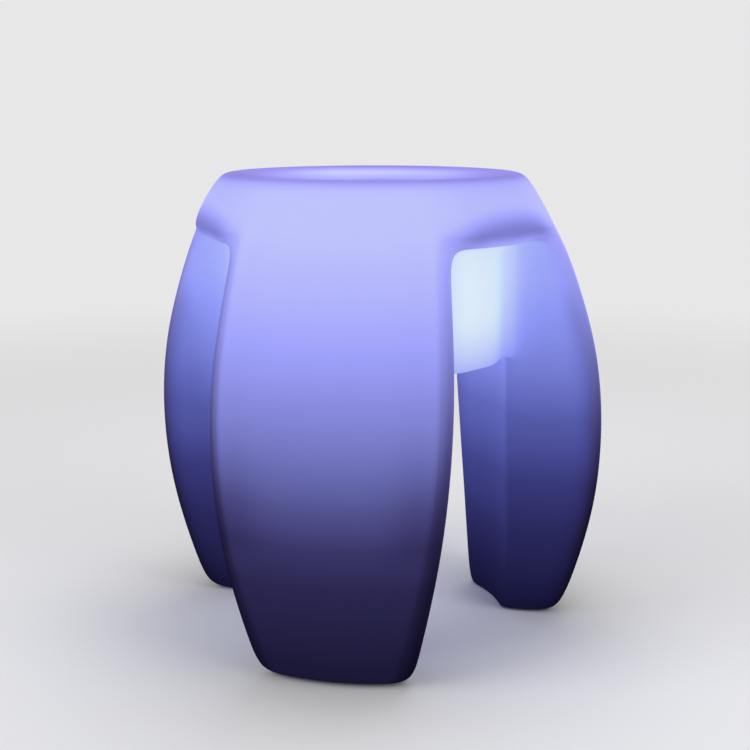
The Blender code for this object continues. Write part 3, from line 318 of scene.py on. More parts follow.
def shell_mesh():
    """The skin's control mesh: the sector turned round the axis and joined at shared borders.

    Points off the edges are moved so that the finished surface passes through the place worked
    out for them, while those on the edges stay out at the corner and are rounded off.
    """
    patches = shell_patches()
    turns = [np.array(Matrix.Rotation(turn * SECTOR, 3, "Z")) for turn in range(LEG_COUNT)]
    points = np.concatenate([grid.reshape(-1, 3) @ turn.T for turn in turns for grid, _ in patches])
    marks = [mark for _ in turns for _, mark in patches]
    starts = np.cumsum([0] + [mark.size for mark in marks])

    # Points at one place become one point, and each patch a grid of such points' numbers
    together = np.linalg.norm(points[:, None] - points, axis=-1) < SAME_PLACE
    first, joined = np.unique(together.argmax(axis=1), return_inverse=True)
    grids = [
        joined[start : start + mark.size].reshape(mark.shape) for start, mark in zip(starts, marks)
    ]
    corners = [(g[:-1, :-1], g[1:, :-1], g[1:, 1:], g[:-1, 1:]) for g in grids]
    quads = np.concatenate([np.stack(four, axis=-1).reshape(-1, 4) for four in corners])

    # A point that any patch marks is free to move
    free = np.zeros(len(first), bool)
    np.logical_or.at(free, joined, np.concatenate([mark.ravel() for mark in marks]))
    points = points[first]
    weights = limit_weights(quads, len(points))
    goal = points[free] - weights[np.ix_(free, ~free)] @ points[~free]
    points[free] = np.linalg.solve(weights[np.ix_(free, free)], goal)

    # The patches of a sector come as crown, ceiling, outer face, inner face, foot and the rest
    crowns, ceilings, feet = (grids[place :: len(patches)] for place in (0, 1, 4))
    middle = np.concatenate([g[-1, :-1] for g in crowns])
    mesh = bpy.data.meshes.new("stool_shell")
    mesh.from_pydata((points + (0, AXIS_Y, 0)).tolist(), [], quads.tolist() + [middle.tolist()])
    turn_faces_out(mesh)

    # The recess's corners stay sharp, and the inner edges of the feet are a little tighter
    rings = [np.concatenate([g[row, :-1] for g in ceilings]) for row in (2, 3)]
    creases = [(np.stack([ring, np.roll(ring, -1)], axis=1), RECESS_CREASE) for ring in rings]
    creases += [(np.stack([g[-1, :-1], g[-1, 1:]], axis=1), FOOT_CREASE) for g in feet]
    crease_edges(mesh, creases)
    mesh.shade_smooth()
    return mesh


class Value:
    """A node's output that takes part in sums, so that a pattern reads as its formula."""

    def __init__(self, nodes, socket):
        self.nodes, self.socket = nodes, socket

    def maths(self, operation, first, second=0):
        """What a Math node makes of one or two numbers."""
        return self.nodes.add("ShaderNodeMath", {"operation": operation}, {0: first, 1: second})

    def __add__(self, other):
        return self.maths("ADD", self, other)

    def __sub__(self, other):
        return self.maths("SUBTRACT", self, other)

    def __rsub__(self, other):
        return self.maths("SUBTRACT", other, self)

    def __mul__(self, other):
        return self.maths("MULTIPLY", self, other)

    def __truediv__(self, other):
        return self.maths("DIVIDE", self, other)

    def __pow__(self, other):
        return self.maths("POWER", self, other)

    def __neg__(self):
        return self * -1

    __radd__, __rmul__ = __add__, __mul__

    def at_least(self, other):
        return self.maths("MAXIMUM", self, other)

    def at_most(self, other):
        return self.maths("MINIMUM", self, other)

    def sine(self):
        return self.maths("SINE", self)

    def rise(self, low, high):
        """0 up to low and 1 from high, with a smooth rise between them. high may be the lower."""
        ends = {"Value": self, "From Min": low, "From Max": high}
        return self.nodes.add("ShaderNodeMapRange", {"interpolation_type": "SMOOTHSTEP"}, ends)

    def changed(self, by, where):
        """Itself, more by a share of itself where a mask is 1, or less if the share is negative."""
        return self * (1 + by * where)


class Nodes:
    """A node tree in the making."""

    def __init__(self, tree):
        self.tree = tree

    def add(self, kind, settings=(), inputs=(), output=0):
        """Adds a node: first its settings, a ramp's stops among them, and then its inputs."""
        made = self.tree.nodes.new(kind)
        for name, value in dict(settings).items():
            if name == "stops":
                ramp = made.color_ramp
                while len(ramp.elements) < len(value):
                    ramp.elements.new(1)
                for element, (position, shade) in zip(ramp.elements, value):
                    element.position = position
                    element.color = (shade, shade, shade, 1)
            else:
                setattr(made, name, value)
        for name, value in dict(inputs).items():
            self.feed(made.inputs[name], value)
        return Value(self, made.outputs[output])

    def feed(self, socket, value):
        """Links a value to a socket, or sets it there."""
        if isinstance(value, Value):
            self.tree.links.new(value.socket, socket)
        else:
            socket.default_value = value

    def parts(self, vector):
        """The three parts of a vector."""
        return [self.add("ShaderNodeSeparateXYZ", (), {0: vector}, output=part) for part in range(3)]

    def ramp(self, position, stops):
        """The grey that a ramp has at a position from 0 to 1, straight between its stops."""
        return self.add("ShaderNodeValToRGB", {"stops": stops}, {0: position})

    def squeezed(self, place, scale):
        """A place scaled along x, y and z: a pattern is finer along the more scaled ones."""
        return self.add("ShaderNodeMapping", (), {"Vector": place, "Scale": scale})

    def noise(self, place, scale, detail=2.0):
        """Cloudy noise from 0 to 1, with so many blotches to the metre."""
        inputs = {"Vector": place, "Scale": scale, "Detail": detail}
        return self.add("ShaderNodeTexNoise", (), inputs)

    def mix(self, amount, first, second):
        """From the first colour to the second one."""
        inputs = {0: amount, 6: first, 7: second}
        return self.add("ShaderNodeMix", {"data_type": "RGBA"}, inputs, output=2)

    def scaled(self, colour, amount):
        """A colour made brighter or darker."""
        inputs = {0: colour, "Scale": amount}
        return self.add("ShaderNodeVectorMath", {"operation": "SCALE"}, inputs)


class Finish(Nodes):
    """A material in the making, and the coordinates that its patterns read."""

    SOCKET_NAMES = {"specular_level": "Specular IOR Level"}

    def __init__(self, name, **sockets):
        self.material = bpy.data.materials.new(name)
        self.material.use_nodes = True
        super().__init__(self.material.node_tree)
        self.shader = self.tree.nodes["Principled BSDF"]
        self.place = self.add("ShaderNodeTexCoord", output="Object")
        self.normal = self.add("ShaderNodeTexCoord", output="Normal")
        self.wear(**sockets)

    def wear(self, **sockets):
        """Feeds the shader's own sockets, by their names in small letters."""
        for name, value in sockets.items():
            name = self.SOCKET_NAMES.get(name, name.replace("_", " ").title())
            self.feed(self.shader.inputs[name], value)

    def bump(self, height, depth):
        """Roughens the surface by a pattern, whose full height is a depth in metres.

        A later pattern takes the place of an earlier one.
        """
        self.wear(normal=self.add("ShaderNodeBump", (), {"Height": height, "Distance": depth}))


# The red part of the painted glow at shares of the seat's height, down the outer faces and down the
# legs' sides, and the painted shade of a leg's rounded edge at shares of looking straight outwards
OUTER_STOPS = (
    (0, 0.0125), (0.05, 0.0135), (0.142, 0.0195), (0.232, 0.026), (0.316, 0.0455),
    (0.397, 0.094), (0.474, 0.159), (0.60, 0.267), (0.78, 0.450), (0.90, 0.532),
)
SIDE_STOPS = (
    (0, 0.0075), (0.20, 0.0255), (0.32, 0.046), (0.47, 0.106), (0.62, 0.236), (0.78, 0.360),
    (0.90, 0.400),
)
EDGE_STOPS = (
    (0, 0), (0.15, 0.15), (0.30, 0.36), (0.60, 0.74), (0.75, 0.89), (0.85, 0.96), (0.94, 0.92),
    (0.965, 0.80), (0.983, 0.70), (0.9925, 0.55), (0.997, 0.49), (0.9992, 0.13), (1, 0),
)
# By what share the painted glow of each part differs from that at its height: painted light where
# the share is above 0, painted shade where it is below
HUB_SIDE_PAINTED_LIGHT = 0.14
INNER_FOOT_PAINTED_LIGHT = 0.08
INNER_FACE_PAINTED_LIGHT = 0.40
OUTER_BORDER_PAINTED_SHADE = -0.22
SEAT_PAINTED_SHADE = -0.40
SLOPE_PAINTED_LIGHT = 0.85
SKIRT_PAINTED_SHADE = -0.10
LIP_PAINTED_SHADE = -0.54
FRONT_LEG_PAINTED_SHADE = -0.26
LEFT_SIDE_PAINTED_SHADE = -0.15
CLOUD_CHANGE = 0.03
# The share of painted shade on a rounded edge where it is darkest, how much less that is up at the
# seat and down at the floor, and the share of painted shade that an edge on the left gets once more
EDGE_PAINTED_SHADE = 0.69
EDGE_LESS_ABOVE = 0.42
EDGE_LESS_BELOW = 0.06
LEFT_EDGE_PAINTED_SHADE = 0.27
# The painted light of the hub's wall, and how much more is painted towards the front
WALL_PAINTED_LIGHT = 0.75
WALL_FRONT_PAINTED_LIGHT = 0.05
MOST_BLUE = 0.99
# The plastic's base colour is this share of its painted glow's colour, so it carries painted light
# and shade as its own, and its emission gives off this share
BASE_SHARE = 0.30
GLOW_STRENGTH = 0.70
BLAST_DEPTH = 0.00006


class Spot:
    """A spot on the shell: where it lies, where it looks to, and which parts it belongs to.

    A part is 1 within it and 0 outside, with a smooth passage between them.
    """

    def __init__(self, finish):
        offset = {0: finish.place, 1: (0, AXIS_Y, 0)}
        from_axis = finish.add("ShaderNodeVectorMath", {"operation": "SUBTRACT"}, offset)
        self.x, self.y, self.z = finish.parts(from_axis)
        self.nx, self.ny, self.nz = finish.parts(finish.normal)
        self.height = self.z / SEAT_HEIGHT
        self.radius = (self.x * self.x + self.y * self.y) ** 0.5
        self.outward = (self.x * self.nx + self.y * self.ny) / self.radius
        self.gap_wave = self.wave_round_axis()
        # How much it looks outwards or up, and how straight outwards apart from its slope
        out, up = self.outward.at_least(0), self.nz.at_least(0)
        self.facing = (out * out + up * up) ** 0.5
        self.level = out / (1.0001 - self.nz * self.nz) ** 0.5
        self.by_hub = self.radius.rise(0.160, 0.145) * self.z.rise(0.390, 0.372)
        self.seat = self.nz.rise(0.5, 0.95) * self.z.rise(0.40, 0.425)
        self.slope = self.front_slope()
        self.lip = self.rolled_lip()
        self.wall = self.hub_wall()

    def wave_round_axis(self):
        """-1 in the middle of a leg and 1 in the middle of a gap.

        It is minus the cosine of three times the angle round the axis.
        """
        cosine = -self.y / self.radius
        return 3 * cosine - 4 * cosine * cosine * cosine

    def front_slope(self):
        """The seat's slope that looks towards the front: the square of how steep it is there."""
        # The seat's slope towards the front is painted brighter, as painted light
        forward = (0.98 * self.nx - 4.9 * self.ny).at_least(0)
        ring = self.radius.rise(0.130, 0.100) * self.radius.rise(0.045, 0.085)
        return self.seat * ring * forward * forward

    def rolled_lip(self):
        """The lip between the legs, up to a border that is highest in the middle of a gap."""
        # The lip between the legs is painted darker here, as painted shade
        below_skirt = (self.z - 0.014 * self.gap_wave).rise(0.399, 0.375)
        in_gap = self.gap_wave.rise(-0.2, 0.8) * self.radius.rise(0.135, 0.15)
        return in_gap * below_skirt * self.z.rise(0.373, 0.388)

    def hub_wall(self):
        """The hub's wall under the seat, which fades into the legs' sides."""
        # Where the hub's wall is painted nearly white, as painted light
        high = self.z.rise(0.225, 0.318) * self.z.rise(0.386, 0.366)
        beside_leg = 0.30 + 0.70 * self.gap_wave.rise(0.15, 1.05)
        return self.radius.rise(0.150, 0.129) * high * self.outward.rise(0, 0.5) * beside_leg


def side_light(finish, at):
    """Red light of the legs' sides and inner faces.

    It is painted stronger beside the hub and on the inner faces, as painted light, and dims
    towards the outer face in painted shade.
    """
    beside_hub = at.z.rise(0.245, 0.285) * at.radius.rise(0.168, 0.134)
    on_inner = at.outward.rise(-0.3, -0.8) * at.gap_wave.rise(0.2, -0.6)
    inner_change = INNER_FOOT_PAINTED_LIGHT + INNER_FACE_PAINTED_LIGHT * at.z.rise(0.03, 0.11)
    below_skin = BELLY_RADIUS - (at.z - BELLY_HEIGHT) ** 2 / (2 * UPPER_ARC) - at.radius
    at_border = below_skin.rise(0.030, 0.004) * at.z.rise(0.34, 0.30)
    side = finish.ramp(at.height, SIDE_STOPS).changed(HUB_SIDE_PAINTED_LIGHT, beside_hub)
    return side.changed(inner_change, on_inner).changed(OUTER_BORDER_PAINTED_SHADE, at_border)


def outer_light(finish, at):
    """Red light of the crown and the legs' outer faces.

    The seat gets painted shade, but its slope that looks towards the front gets painted light.
    Over the gaps the skirt gets a little painted shade, and the lip that rolls under it much more.
    A third of the way up, the front leg dims towards its edges in painted shade.
    """
    skirt = at.gap_wave.rise(-0.35, 1.1) * at.z.rise(0.36, 0.40)
    front = at.y.rise(-0.06, -0.12) * at.gap_wave.rise(-0.95, -0.40) * at.level.rise(0.93, 0.99)
    third_up = at.z.rise(0.11, 0.145) * at.z.rise(0.245, 0.15)
    outer = finish.ramp(at.height, OUTER_STOPS)
    outer = outer.changed(SEAT_PAINTED_SHADE, at.seat).changed(SLOPE_PAINTED_LIGHT, at.slope)
    outer = outer.changed(SKIRT_PAINTED_SHADE, skirt).changed(LIP_PAINTED_SHADE, at.lip)
    return outer.changed(FRONT_LEG_PAINTED_SHADE, front * third_up)


def edge_painted_shades(finish, at):
    """Shares of light that the legs' rounded outer edges lose: all of them, and the left ones.

    This is painted shade, where one looks along the wall. It is darkest a third of the way up.
    """
    edge = finish.ramp(at.level, EDGE_STOPS) * at.radius.rise(0.14, 0.16)
    less_above = EDGE_LESS_ABOVE * at.z.rise(0.165, 0.36)
    less_below = EDGE_LESS_BELOW * at.z.rise(0.12, 0.05)
    on_left = at.nx.rise(-0.2, -0.85) * at.z.rise(0.07, 0.17) * at.z.rise(0.385, 0.36)
    return edge * (EDGE_PAINTED_SHADE - less_above - less_below), LEFT_EDGE_PAINTED_SHADE * edge * on_left


def green_share(at, red, on_side, edge):
    """Green over red: more in bright light and on the sides, less on the seat and the edges."""
    by_leg = at.wall * (1 - at.gap_wave.rise(0.5, 1)) * at.ny.rise(-0.65, -0.4)
    share = 0.84 + 0.20 * red.rise(0, 0.13) + 0.12 * on_side + 0.2 * by_leg
    return share - 0.12 * at.seat + 0.10 * at.slope - 0.08 * edge - 0.04 * at.lip


def blue_share(at, red, on_side, edge):
    """Blue over red: more in dim light and on the sides, less on the seat and the edges."""
    share = 3.35 - 1.65 * red + on_side * (1.4 - 0.95 * red.rise(0, 0.25))
    return share - 0.3 * at.seat - 0.35 * edge


def glowing_shell():
    """Polyethylene lit from inside, at its brightest near the lamps.

    The glow is painted light. Its colour is the emission and, at a share, the base colour, standing
    in for the lamps' light through the wall. The red part of the light is worked out first. It
    follows height, down the outer faces and down the sides, and dims fast in painted shade where the
    hub's lower edge shades the legs. The hub's wall is painted nearly white, and the seat, the lip
    between the legs and the legs' roundings are painted darker, as painted shade. Green and blue
    then follow the red.
    """
    finish = Finish("glowing_polyethylene", specular_level=0)
    at = Spot(finish)
    outer, side = outer_light(finish, at), side_light(finish, at)
    edge, left_edge = edge_painted_shades(finish, at)
    # The hub's wall and the corners beside it count as sides
    is_outer = at.facing.rise(0.1, 0.9) * (1 - at.by_hub)
    red = (side + (outer - side) * is_outer) * (1 - edge) * (1 - left_edge)
    # Painted shade: the left leg's side is dimmer than the right one's at half its height
    left_side = at.x.rise(-0.160, -0.185) * at.z.rise(0.18, 0.23) * at.z.rise(0.335, 0.28)
    red = red.changed(LEFT_SIDE_PAINTED_SHADE, left_side)
    wall_light = WALL_PAINTED_LIGHT + WALL_FRONT_PAINTED_LIGHT * at.ny.rise(-0.4, -0.7)
    red = red + (wall_light - red) * at.wall
    red = red.changed(CLOUD_CHANGE, finish.noise(finish.place, 14, 3.0) - 0.5)

    on_side = 1 - at.facing.rise(0, 0.55) * (1 - at.by_hub)
    green = red * green_share(at, red, on_side, edge)
    blue = (red * blue_share(at, red, on_side, edge)).at_most(MOST_BLUE)
    # The painted glow's colour: the shell gives it off, and wears a share of it as its base colour
    lit = finish.add("ShaderNodeCombineColor", (), {0: red, 1: green, 2: blue})
    finish.wear(base_color=finish.scaled(lit, BASE_SHARE), emission_color=lit)
    finish.wear(emission_strength=GLOW_STRENGTH)

    # The mould's blasted face: a fine grain on a slow, shallow unevenness
    grain = finish.noise(finish.place, 1300)
    finish.wear(roughness=0.44 + 0.14 * grain)
    finish.bump(grain + 5 * finish.noise(finish.place, 70), BLAST_DEPTH)
    return finish.material


shell = bpy.data.objects.new("stool_shell", shell_mesh())
bpy.context.scene.collection.objects.link(shell)
rounding = shell.modifiers.new("rounding", "SUBSURF")
rounding.levels = rounding.render_levels = ROUNDING_LEVELS
wall = shell.modifiers.new("wall", "SOLIDIFY")
wall.thickness = SHELL_WALL
wall.offset = -1
wall.use_even_offset = True
polyethylene = glowing_shell()
shell.data.materials.append(polyethylene)
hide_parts("shell")
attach(shell, "stool")


# Bosses
# Six bosses stand on the shell's inner face round the opening, moulded with it. Each holds a
# brass insert that a base screw goes into.
BOSS_COUNT = 6
BOSS_RADIUS = 0.0073
BOSS_BORE = 0.0037
BOSS_DEPTH = 0.0103
BOSS_ROOF = 0.004
BOSS_ROUND = 0.0008
BOSS_SIDES = 40
# A closing ring without width becomes one point, and steeper bends than this stay sharp
NO_WIDTH = 1e-6
SHARP_BEND = math.radians(35)


def ringed_mesh(points, name):
    """A smooth mesh of closed bodies, with point k of ring i of body b at b, i, k.

    A body whose first and last rings have no width is closed there by single points.
    """
    index = np.arange(points.size // 3).reshape(points.shape[:3])
    after = np.roll(index, -1, axis=2)
    quads = np.stack([index[:, :-1], after[:, :-1], after[:, 1:], index[:, 1:]], axis=-1)
    mesh = bpy.data.meshes.new(name)
    mesh.from_pydata(points.reshape(-1, 3).tolist(), [], quads.reshape(-1, 4).tolist())
    turn_faces_out(mesh, merge_within=NO_WIDTH)
    mesh.shade_smooth()
    mesh.set_sharp_from_angle(angle=SHARP_BEND)
    return mesh


def turned(profile, sides, places, name):
    """A mesh of bodies turned about upright lines through these places, at a profile's points.

    Point i, k lies at the radius and height of profile point i, at k steps of a turn. The
    profile starts and ends on the line.
    """
    radii, heights = np.array(profile, float).T
    turn = math.tau * np.arange(sides) / sides
    ring = np.stack([np.cos(turn), np.sin(turn)], axis=-1)
    flat = radii[:, None, None] * ring
    upright = np.broadcast_to(heights[:, None, None], (len(radii), sides, 1))
    body = np.concatenate([flat, upright], axis=-1)
    places = np.array(places, float)
    return ringed_mesh(body + np.pad(places, ((0, 0), (0, 1)))[:, None, None, :], name)


def place_piece(name, mesh, material, slot, body, *nodes):
    """Puts a finished piece in the scene for the nodes that it replaces."""
    piece = bpy.data.objects.new(name, mesh)
    bpy.context.scene.collection.objects.link(piece)
    mesh.materials.append(material)
    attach(piece, body)
    if nodes:
        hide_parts(*nodes)
    return piece


boss_foot = RECESS_FLOOR + SHELL_WALL
boss_top = RECESS_FLOOR + BOSS_DEPTH + BOSS_ROOF
boss_profile = [
    (0, RECESS_FLOOR + BOSS_DEPTH),
    (BOSS_BORE, RECESS_FLOOR + BOSS_DEPTH),
    (BOSS_BORE, boss_foot),
    (BOSS_RADIUS + BOSS_ROUND, boss_foot),
    (BOSS_RADIUS, boss_foot + BOSS_ROUND),
    (BOSS_RADIUS, boss_top - BOSS_ROUND),
    (BOSS_RADIUS - BOSS_ROUND, boss_top),
    (0, boss_top),
]
screw_boxes = [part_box(f"base_screw_{number}") for number in range(1, BOSS_COUNT + 1)]
screw_places = [((low.x + high.x) / 2, (low.y + high.y) / 2) for low, high in screw_boxes]
bosses = turned(boss_profile, BOSS_SIDES, screw_places, "shell_bosses")
# The bosses wear the shell's painted glow as well
place_piece("shell_bosses", bosses, polyethylene, "shell_plastic", "stool")


# Base plate
# A disc of pale grey plastic that closes the hub from below. It is injection moulded, with a
# finely sparked face and shallow rings turned into the mould.
SPARK_DEPTH = 0.00006
RING_SPACING = 0.0042
# The rings are so many times as deep as the spark, and come up between these two radii
RING_DEPTHS = 4
RINGS_FROM, RINGS_FULL = 0.046, 0.050
# The patches of a moulding's colour
PALER_SHARE, DARKER_SHARE = 1.06, 0.90


def moulded_plastic(name, colour, roughness, grain_scale, depth, **sockets):
    """A moulded plastic: a colour a little uneven in patches, and a grain in gloss and relief."""
    finish = Finish(name, **sockets)
    cloud = finish.noise(finish.place, 60, 4.0)
    finish.grain = finish.noise(finish.place, grain_scale)
    paler = [min(1, part * PALER_SHARE) for part in colour] + [1]
    darker = [part * DARKER_SHARE for part in colour] + [1]
    finish.wear(base_color=finish.mix(cloud.rise(0.3, 0.7), darker, paler))
    finish.wear(roughness=roughness + 0.18 * (finish.grain - 0.5) + 0.08 * (cloud - 0.5))
    finish.bump(finish.grain, depth)
    return finish


def dress(finish, *names):
    """Gives CAD nodes a finish."""
    for name in names:
        for slot in bpy.data.objects[name].material_slots:
            slot.material = finish.material


plate = moulded_plastic(
    "sparked_abs", colour=(0.64, 0.64, 0.67), roughness=0.5, grain_scale=2200, depth=SPARK_DEPTH
)
x, y, z = plate.parts(plate.place)
from_axis = (x * x + (y - AXIS_Y) * (y - AXIS_Y)) ** 0.5
ring = (from_axis * (math.tau / RING_SPACING)).sine().rise(0.55, 0.95)
plate.bump(plate.grain + RING_DEPTHS * ring * from_axis.rise(RINGS_FROM, RINGS_FULL), SPARK_DEPTH)
dress(plate, "base_plate")


# Gasket
# A ring of soft grey silicone, pressed into the plate's groove, that keeps rain and dust out.
silicone = moulded_plastic(
    "grey_silicone",
    colour=(0.28, 0.28, 0.30),
    roughness=0.62,
    grain_scale=900,
    depth=0.00005,
    sheen_weight=0.25,
)
dress(silicone, "gasket")


# Base screws and inserts
# Six stainless screws with button heads and six-sided sockets come up through the plate into
# knurled brass inserts in the shell's bosses.
SCREW_SIDES = 48
SCREW_RADIUS = 0.0020
TIP_CHAMFER = 0.0006
HEAD_RADIUS = 0.0036
HEAD_HEIGHT = 0.0020
HEAD_ROUND = 0.0011
HEAD_STEPS = 6
SOCKET_RADIUS = 0.00155
SOCKET_DEPTH = 0.0013
SOCKET_CHAMFER = 0.0002
# A point nearer than a hair's breadth to the socket's edge counts as lying on it
HAIR = 1e-5
# Tarnished metal shows this share of its colour
TARNISH_SHARE = 0.72
screw_low, screw_high = screw_boxes[0][0].z, screw_boxes[0][1].z


def turned_metal(name, colour, roughness, mark_scale):
    """A metal turned on a lathe: fine marks round its upright axis, and a slight tarnish."""
    finish = Finish(name, metallic=1.0)
    marks = finish.noise(finish.squeezed(finish.place, (1, 1, 30)), mark_scale, 3.0)
    tarnish = finish.noise(finish.place, 400, 4.0)
    duller = [part * TARNISH_SHARE for part in colour] + [1]
    finish.wear(base_color=finish.mix(tarnish.rise(0.45, 0.8), (*colour, 1), duller))
    finish.wear(roughness=roughness + 0.22 * (marks - 0.5) + 0.15 * tarnish.rise(0.5, 0.9))
    finish.bump(marks, 0.00002)
    return finish


def draw_in_socket(mesh, place):
    """Draws the rings of a screw's round socket in to a hexagon.

    A point's distance from the screw's line is multiplied by the cosine of half a side's angle,
    over the cosine of its own angle from the middle of that side.
    """
    points = np.empty(3 * len(mesh.vertices), np.float32)
    mesh.vertices.foreach_get("co", points)
    points = points.reshape(-1, 3)
    off = points[:, :2] - place
    far = np.hypot(*off.T)
    half_side = math.pi / 6
    angle = (np.arctan2(off[:, 1], off[:, 0]) + half_side) % (2 * half_side) - half_side
    in_socket = (far < SOCKET_RADIUS + HAIR) & (far > HAIR)
    in_socket &= points[:, 2] < screw_low + SOCKET_DEPTH + HAIR
    shrunk = np.where(in_socket, math.cos(half_side) / np.cos(angle), 1)
    points[:, :2] = place + off * shrunk[:, None]
    mesh.vertices.foreach_set("co", points.ravel())


steel = turned_metal("stainless_steel", colour=(0.62, 0.62, 0.60), roughness=0.30, mark_scale=90)
bend = np.linspace(0, math.pi / 2, HEAD_STEPS)
head_radii = HEAD_RADIUS - HEAD_ROUND * (1 - np.sin(bend))
head_heights = screw_low + HEAD_ROUND * (1 - np.cos(bend))
screw_profile = [
    (0, screw_low + SOCKET_DEPTH),
    (SOCKET_RADIUS, screw_low + SOCKET_DEPTH),
    (SOCKET_RADIUS, screw_low + SOCKET_CHAMFER),
    (SOCKET_RADIUS + SOCKET_CHAMFER, screw_low),
    *zip(head_radii, head_heights),
    (HEAD_RADIUS, screw_low + HEAD_HEIGHT),
    (SCREW_RADIUS, screw_low + HEAD_HEIGHT),
    (SCREW_RADIUS, screw_high - TIP_CHAMFER),
    (SCREW_RADIUS - TIP_CHAMFER, screw_high),
    (0, screw_high),
]
for number, place in enumerate(screw_places, 1):
    screw = turned(screw_profile, SCREW_SIDES, [place], f"screw_{number}")
    draw_in_socket(screw, place)
    place_piece(f"screw_{number}", screw, steel.material, "steel", "stool", f"base_screw_{number}")

brass = turned_metal("brass", colour=(0.72, 0.50, 0.20), roughness=0.36, mark_scale=140)
dress(brass, *[f"insert_nut_{number}" for number in range(1, BOSS_COUNT + 1)])


# Power switch
# A waterproof push switch: a black nylon barrel held by a steel nut, and a soft grey button on
# a return spring that stands proud of the flange.
black_nylon = moulded_plastic(
    "black_nylon", colour=(0.030, 0.030, 0.034), roughness=0.42, grain_scale=1500, depth=0.00005
)
dress(black_nylon, "switch_body")
dress(steel, "switch_nut")
dress(silicone, "power_button")


# Return spring
# Four open turns of steel wire between the button's collar and the roof of the switch.
SPRING_WIRE = 0.00035
SPRING_TURNS = 4
STEPS_A_TURN = 40
WIRE_SIDES = 12


def wound_wire(low, high):
    """A coil of wire, upright in a box, whose first and last rings have no width.

    Point i, k lies a wire's radius from step i of a helix, at k steps of a turn from the line
    that leads out of the coil.
    """
    middle, rise = (low + high) / 2, high.z - low.z - 2 * SPRING_WIRE
    reach = (high.x - low.x) / 2 - SPRING_WIRE
    steps = SPRING_TURNS * STEPS_A_TURN + 1
    share = np.pad(np.linspace(0, 1, steps), 1, "edge")
    girth = np.pad(np.full(steps, SPRING_WIRE), 1)[:, None, None]
    wound = math.tau * SPRING_TURNS
    angle = wound * share
    out = np.stack([np.cos(angle), np.sin(angle), 0 * angle], axis=-1)
    along = np.stack([-np.sin(angle), np.cos(angle), 0 * angle + rise / (wound * reach)], axis=-1)
    across = np.cross(along / np.linalg.norm(along, axis=-1, keepdims=True), out)
    helix = reach * out + np.stack([0 * share, 0 * share, low.z + SPRING_WIRE + rise * share], axis=-1)
    turn = math.tau * np.arange(WIRE_SIDES)[:, None] / WIRE_SIDES
    ring = np.cos(turn) * out[:, None] + np.sin(turn) * across[:, None]
    return (helix[:, None] + girth * ring + (middle.x, middle.y, 0))[None]


low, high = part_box("switch_spring")
spring_mesh = ringed_mesh(wound_wire(low, high), "return_spring")
spring = place_piece("return_spring", spring_mesh, steel.material, "steel", "stool", "switch_spring")
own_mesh(spring)


# Charging socket and its cover
# A round socket held by a steel nut, under a black rubber cover. The cover hangs on a strap that
# bends open, and its tab is riveted to the plate.
dress(black_nylon, "charging_socket")
dress(steel, "socket_nut", "cover_rivet")
rubber = moulded_plastic(
    "black_rubber",
    colour=(0.022, 0.022, 0.024),
    roughness=0.74,
    grain_scale=1100,
    depth=0.00007,
    sheen_weight=0.2,
)
dress(rubber, "socket_cover", "cover_tab")


# Receiver and its window
# The remote's receiver looks down through a window of smoked acrylic, pressed into the plate.
smoked = moulded_plastic(
    "smoked_acrylic",
    colour=(0.035, 0.008, 0.014),
    roughness=0.12,
    grain_scale=300,
    depth=0.00001,
    coat_weight=0.5,
)
dress(smoked, "receiver_window")
dress(black_nylon, "receiver")


# Battery
# Two cells lie in a black tray between strips of plated steel. They are shrink-wrapped in blue,
# with creases along them and bare metal ends.
dress(black_nylon, "battery_tray")
dress(steel, "battery_contact_1", "battery_contact_2")
wrap = Finish("cell_wrap")
nx, ny, nz = wrap.parts(wrap.normal)
bare_end = (nx * nx).rise(0.7, 0.95)
creases = wrap.noise(wrap.squeezed(wrap.place, (0.2, 1, 1)), 500, 3.0)
blue_wrap, bare_metal = (0.05, 0.13, 0.42, 1), (0.62, 0.62, 0.60, 1)
wrap.wear(base_color=wrap.mix(bare_end, blue_wrap, bare_metal), metallic=bare_end)
wrap.wear(roughness=0.30 + 0.2 * creases)
wrap.bump(creases, 0.00006)
dress(wrap, "battery_cell_1", "battery_cell_2")


# Control board and lamp board
# The green board with its driver chip lies on the tray's pegs. The lamps' board is white
# lacquered aluminium on three brass posts.
def lacquered_board(name, colour, line_colour, scale):
    """A board under lacquer: lines of copper show through as the borders of cells."""
    finish = Finish(name)
    cells = {"Vector": finish.place, "Scale": scale}
    border = finish.add("ShaderNodeTexVoronoi", {"feature": "DISTANCE_TO_EDGE"}, cells)
    lines = border.rise(0.09, 0.05)
    cloud = finish.noise(finish.place, 120)
    finish.wear(base_color=finish.mix(lines * (0.6 + 0.4 * cloud), (*colour, 1), (*line_colour, 1)))
    finish.wear(roughness=0.30 + 0.15 * cloud)
    finish.bump(lines, 0.00004)
    return finish


green_board = lacquered_board(
    "green_board", colour=(0.012, 0.11, 0.04), line_colour=(0.03, 0.24, 0.09), scale=260
)
dress(green_board, "control_board")
dress(black_nylon, "driver_chip")
white_board = lacquered_board(
    "white_board", colour=(0.78, 0.78, 0.76), line_colour=(0.66, 0.66, 0.62), scale=150
)
dress(white_board, "lamp_board")
dress(brass, "board_post_1", "board_post_2", "board_post_3")
dress(steel, "board_screw_1", "board_screw_2", "board_screw_3")


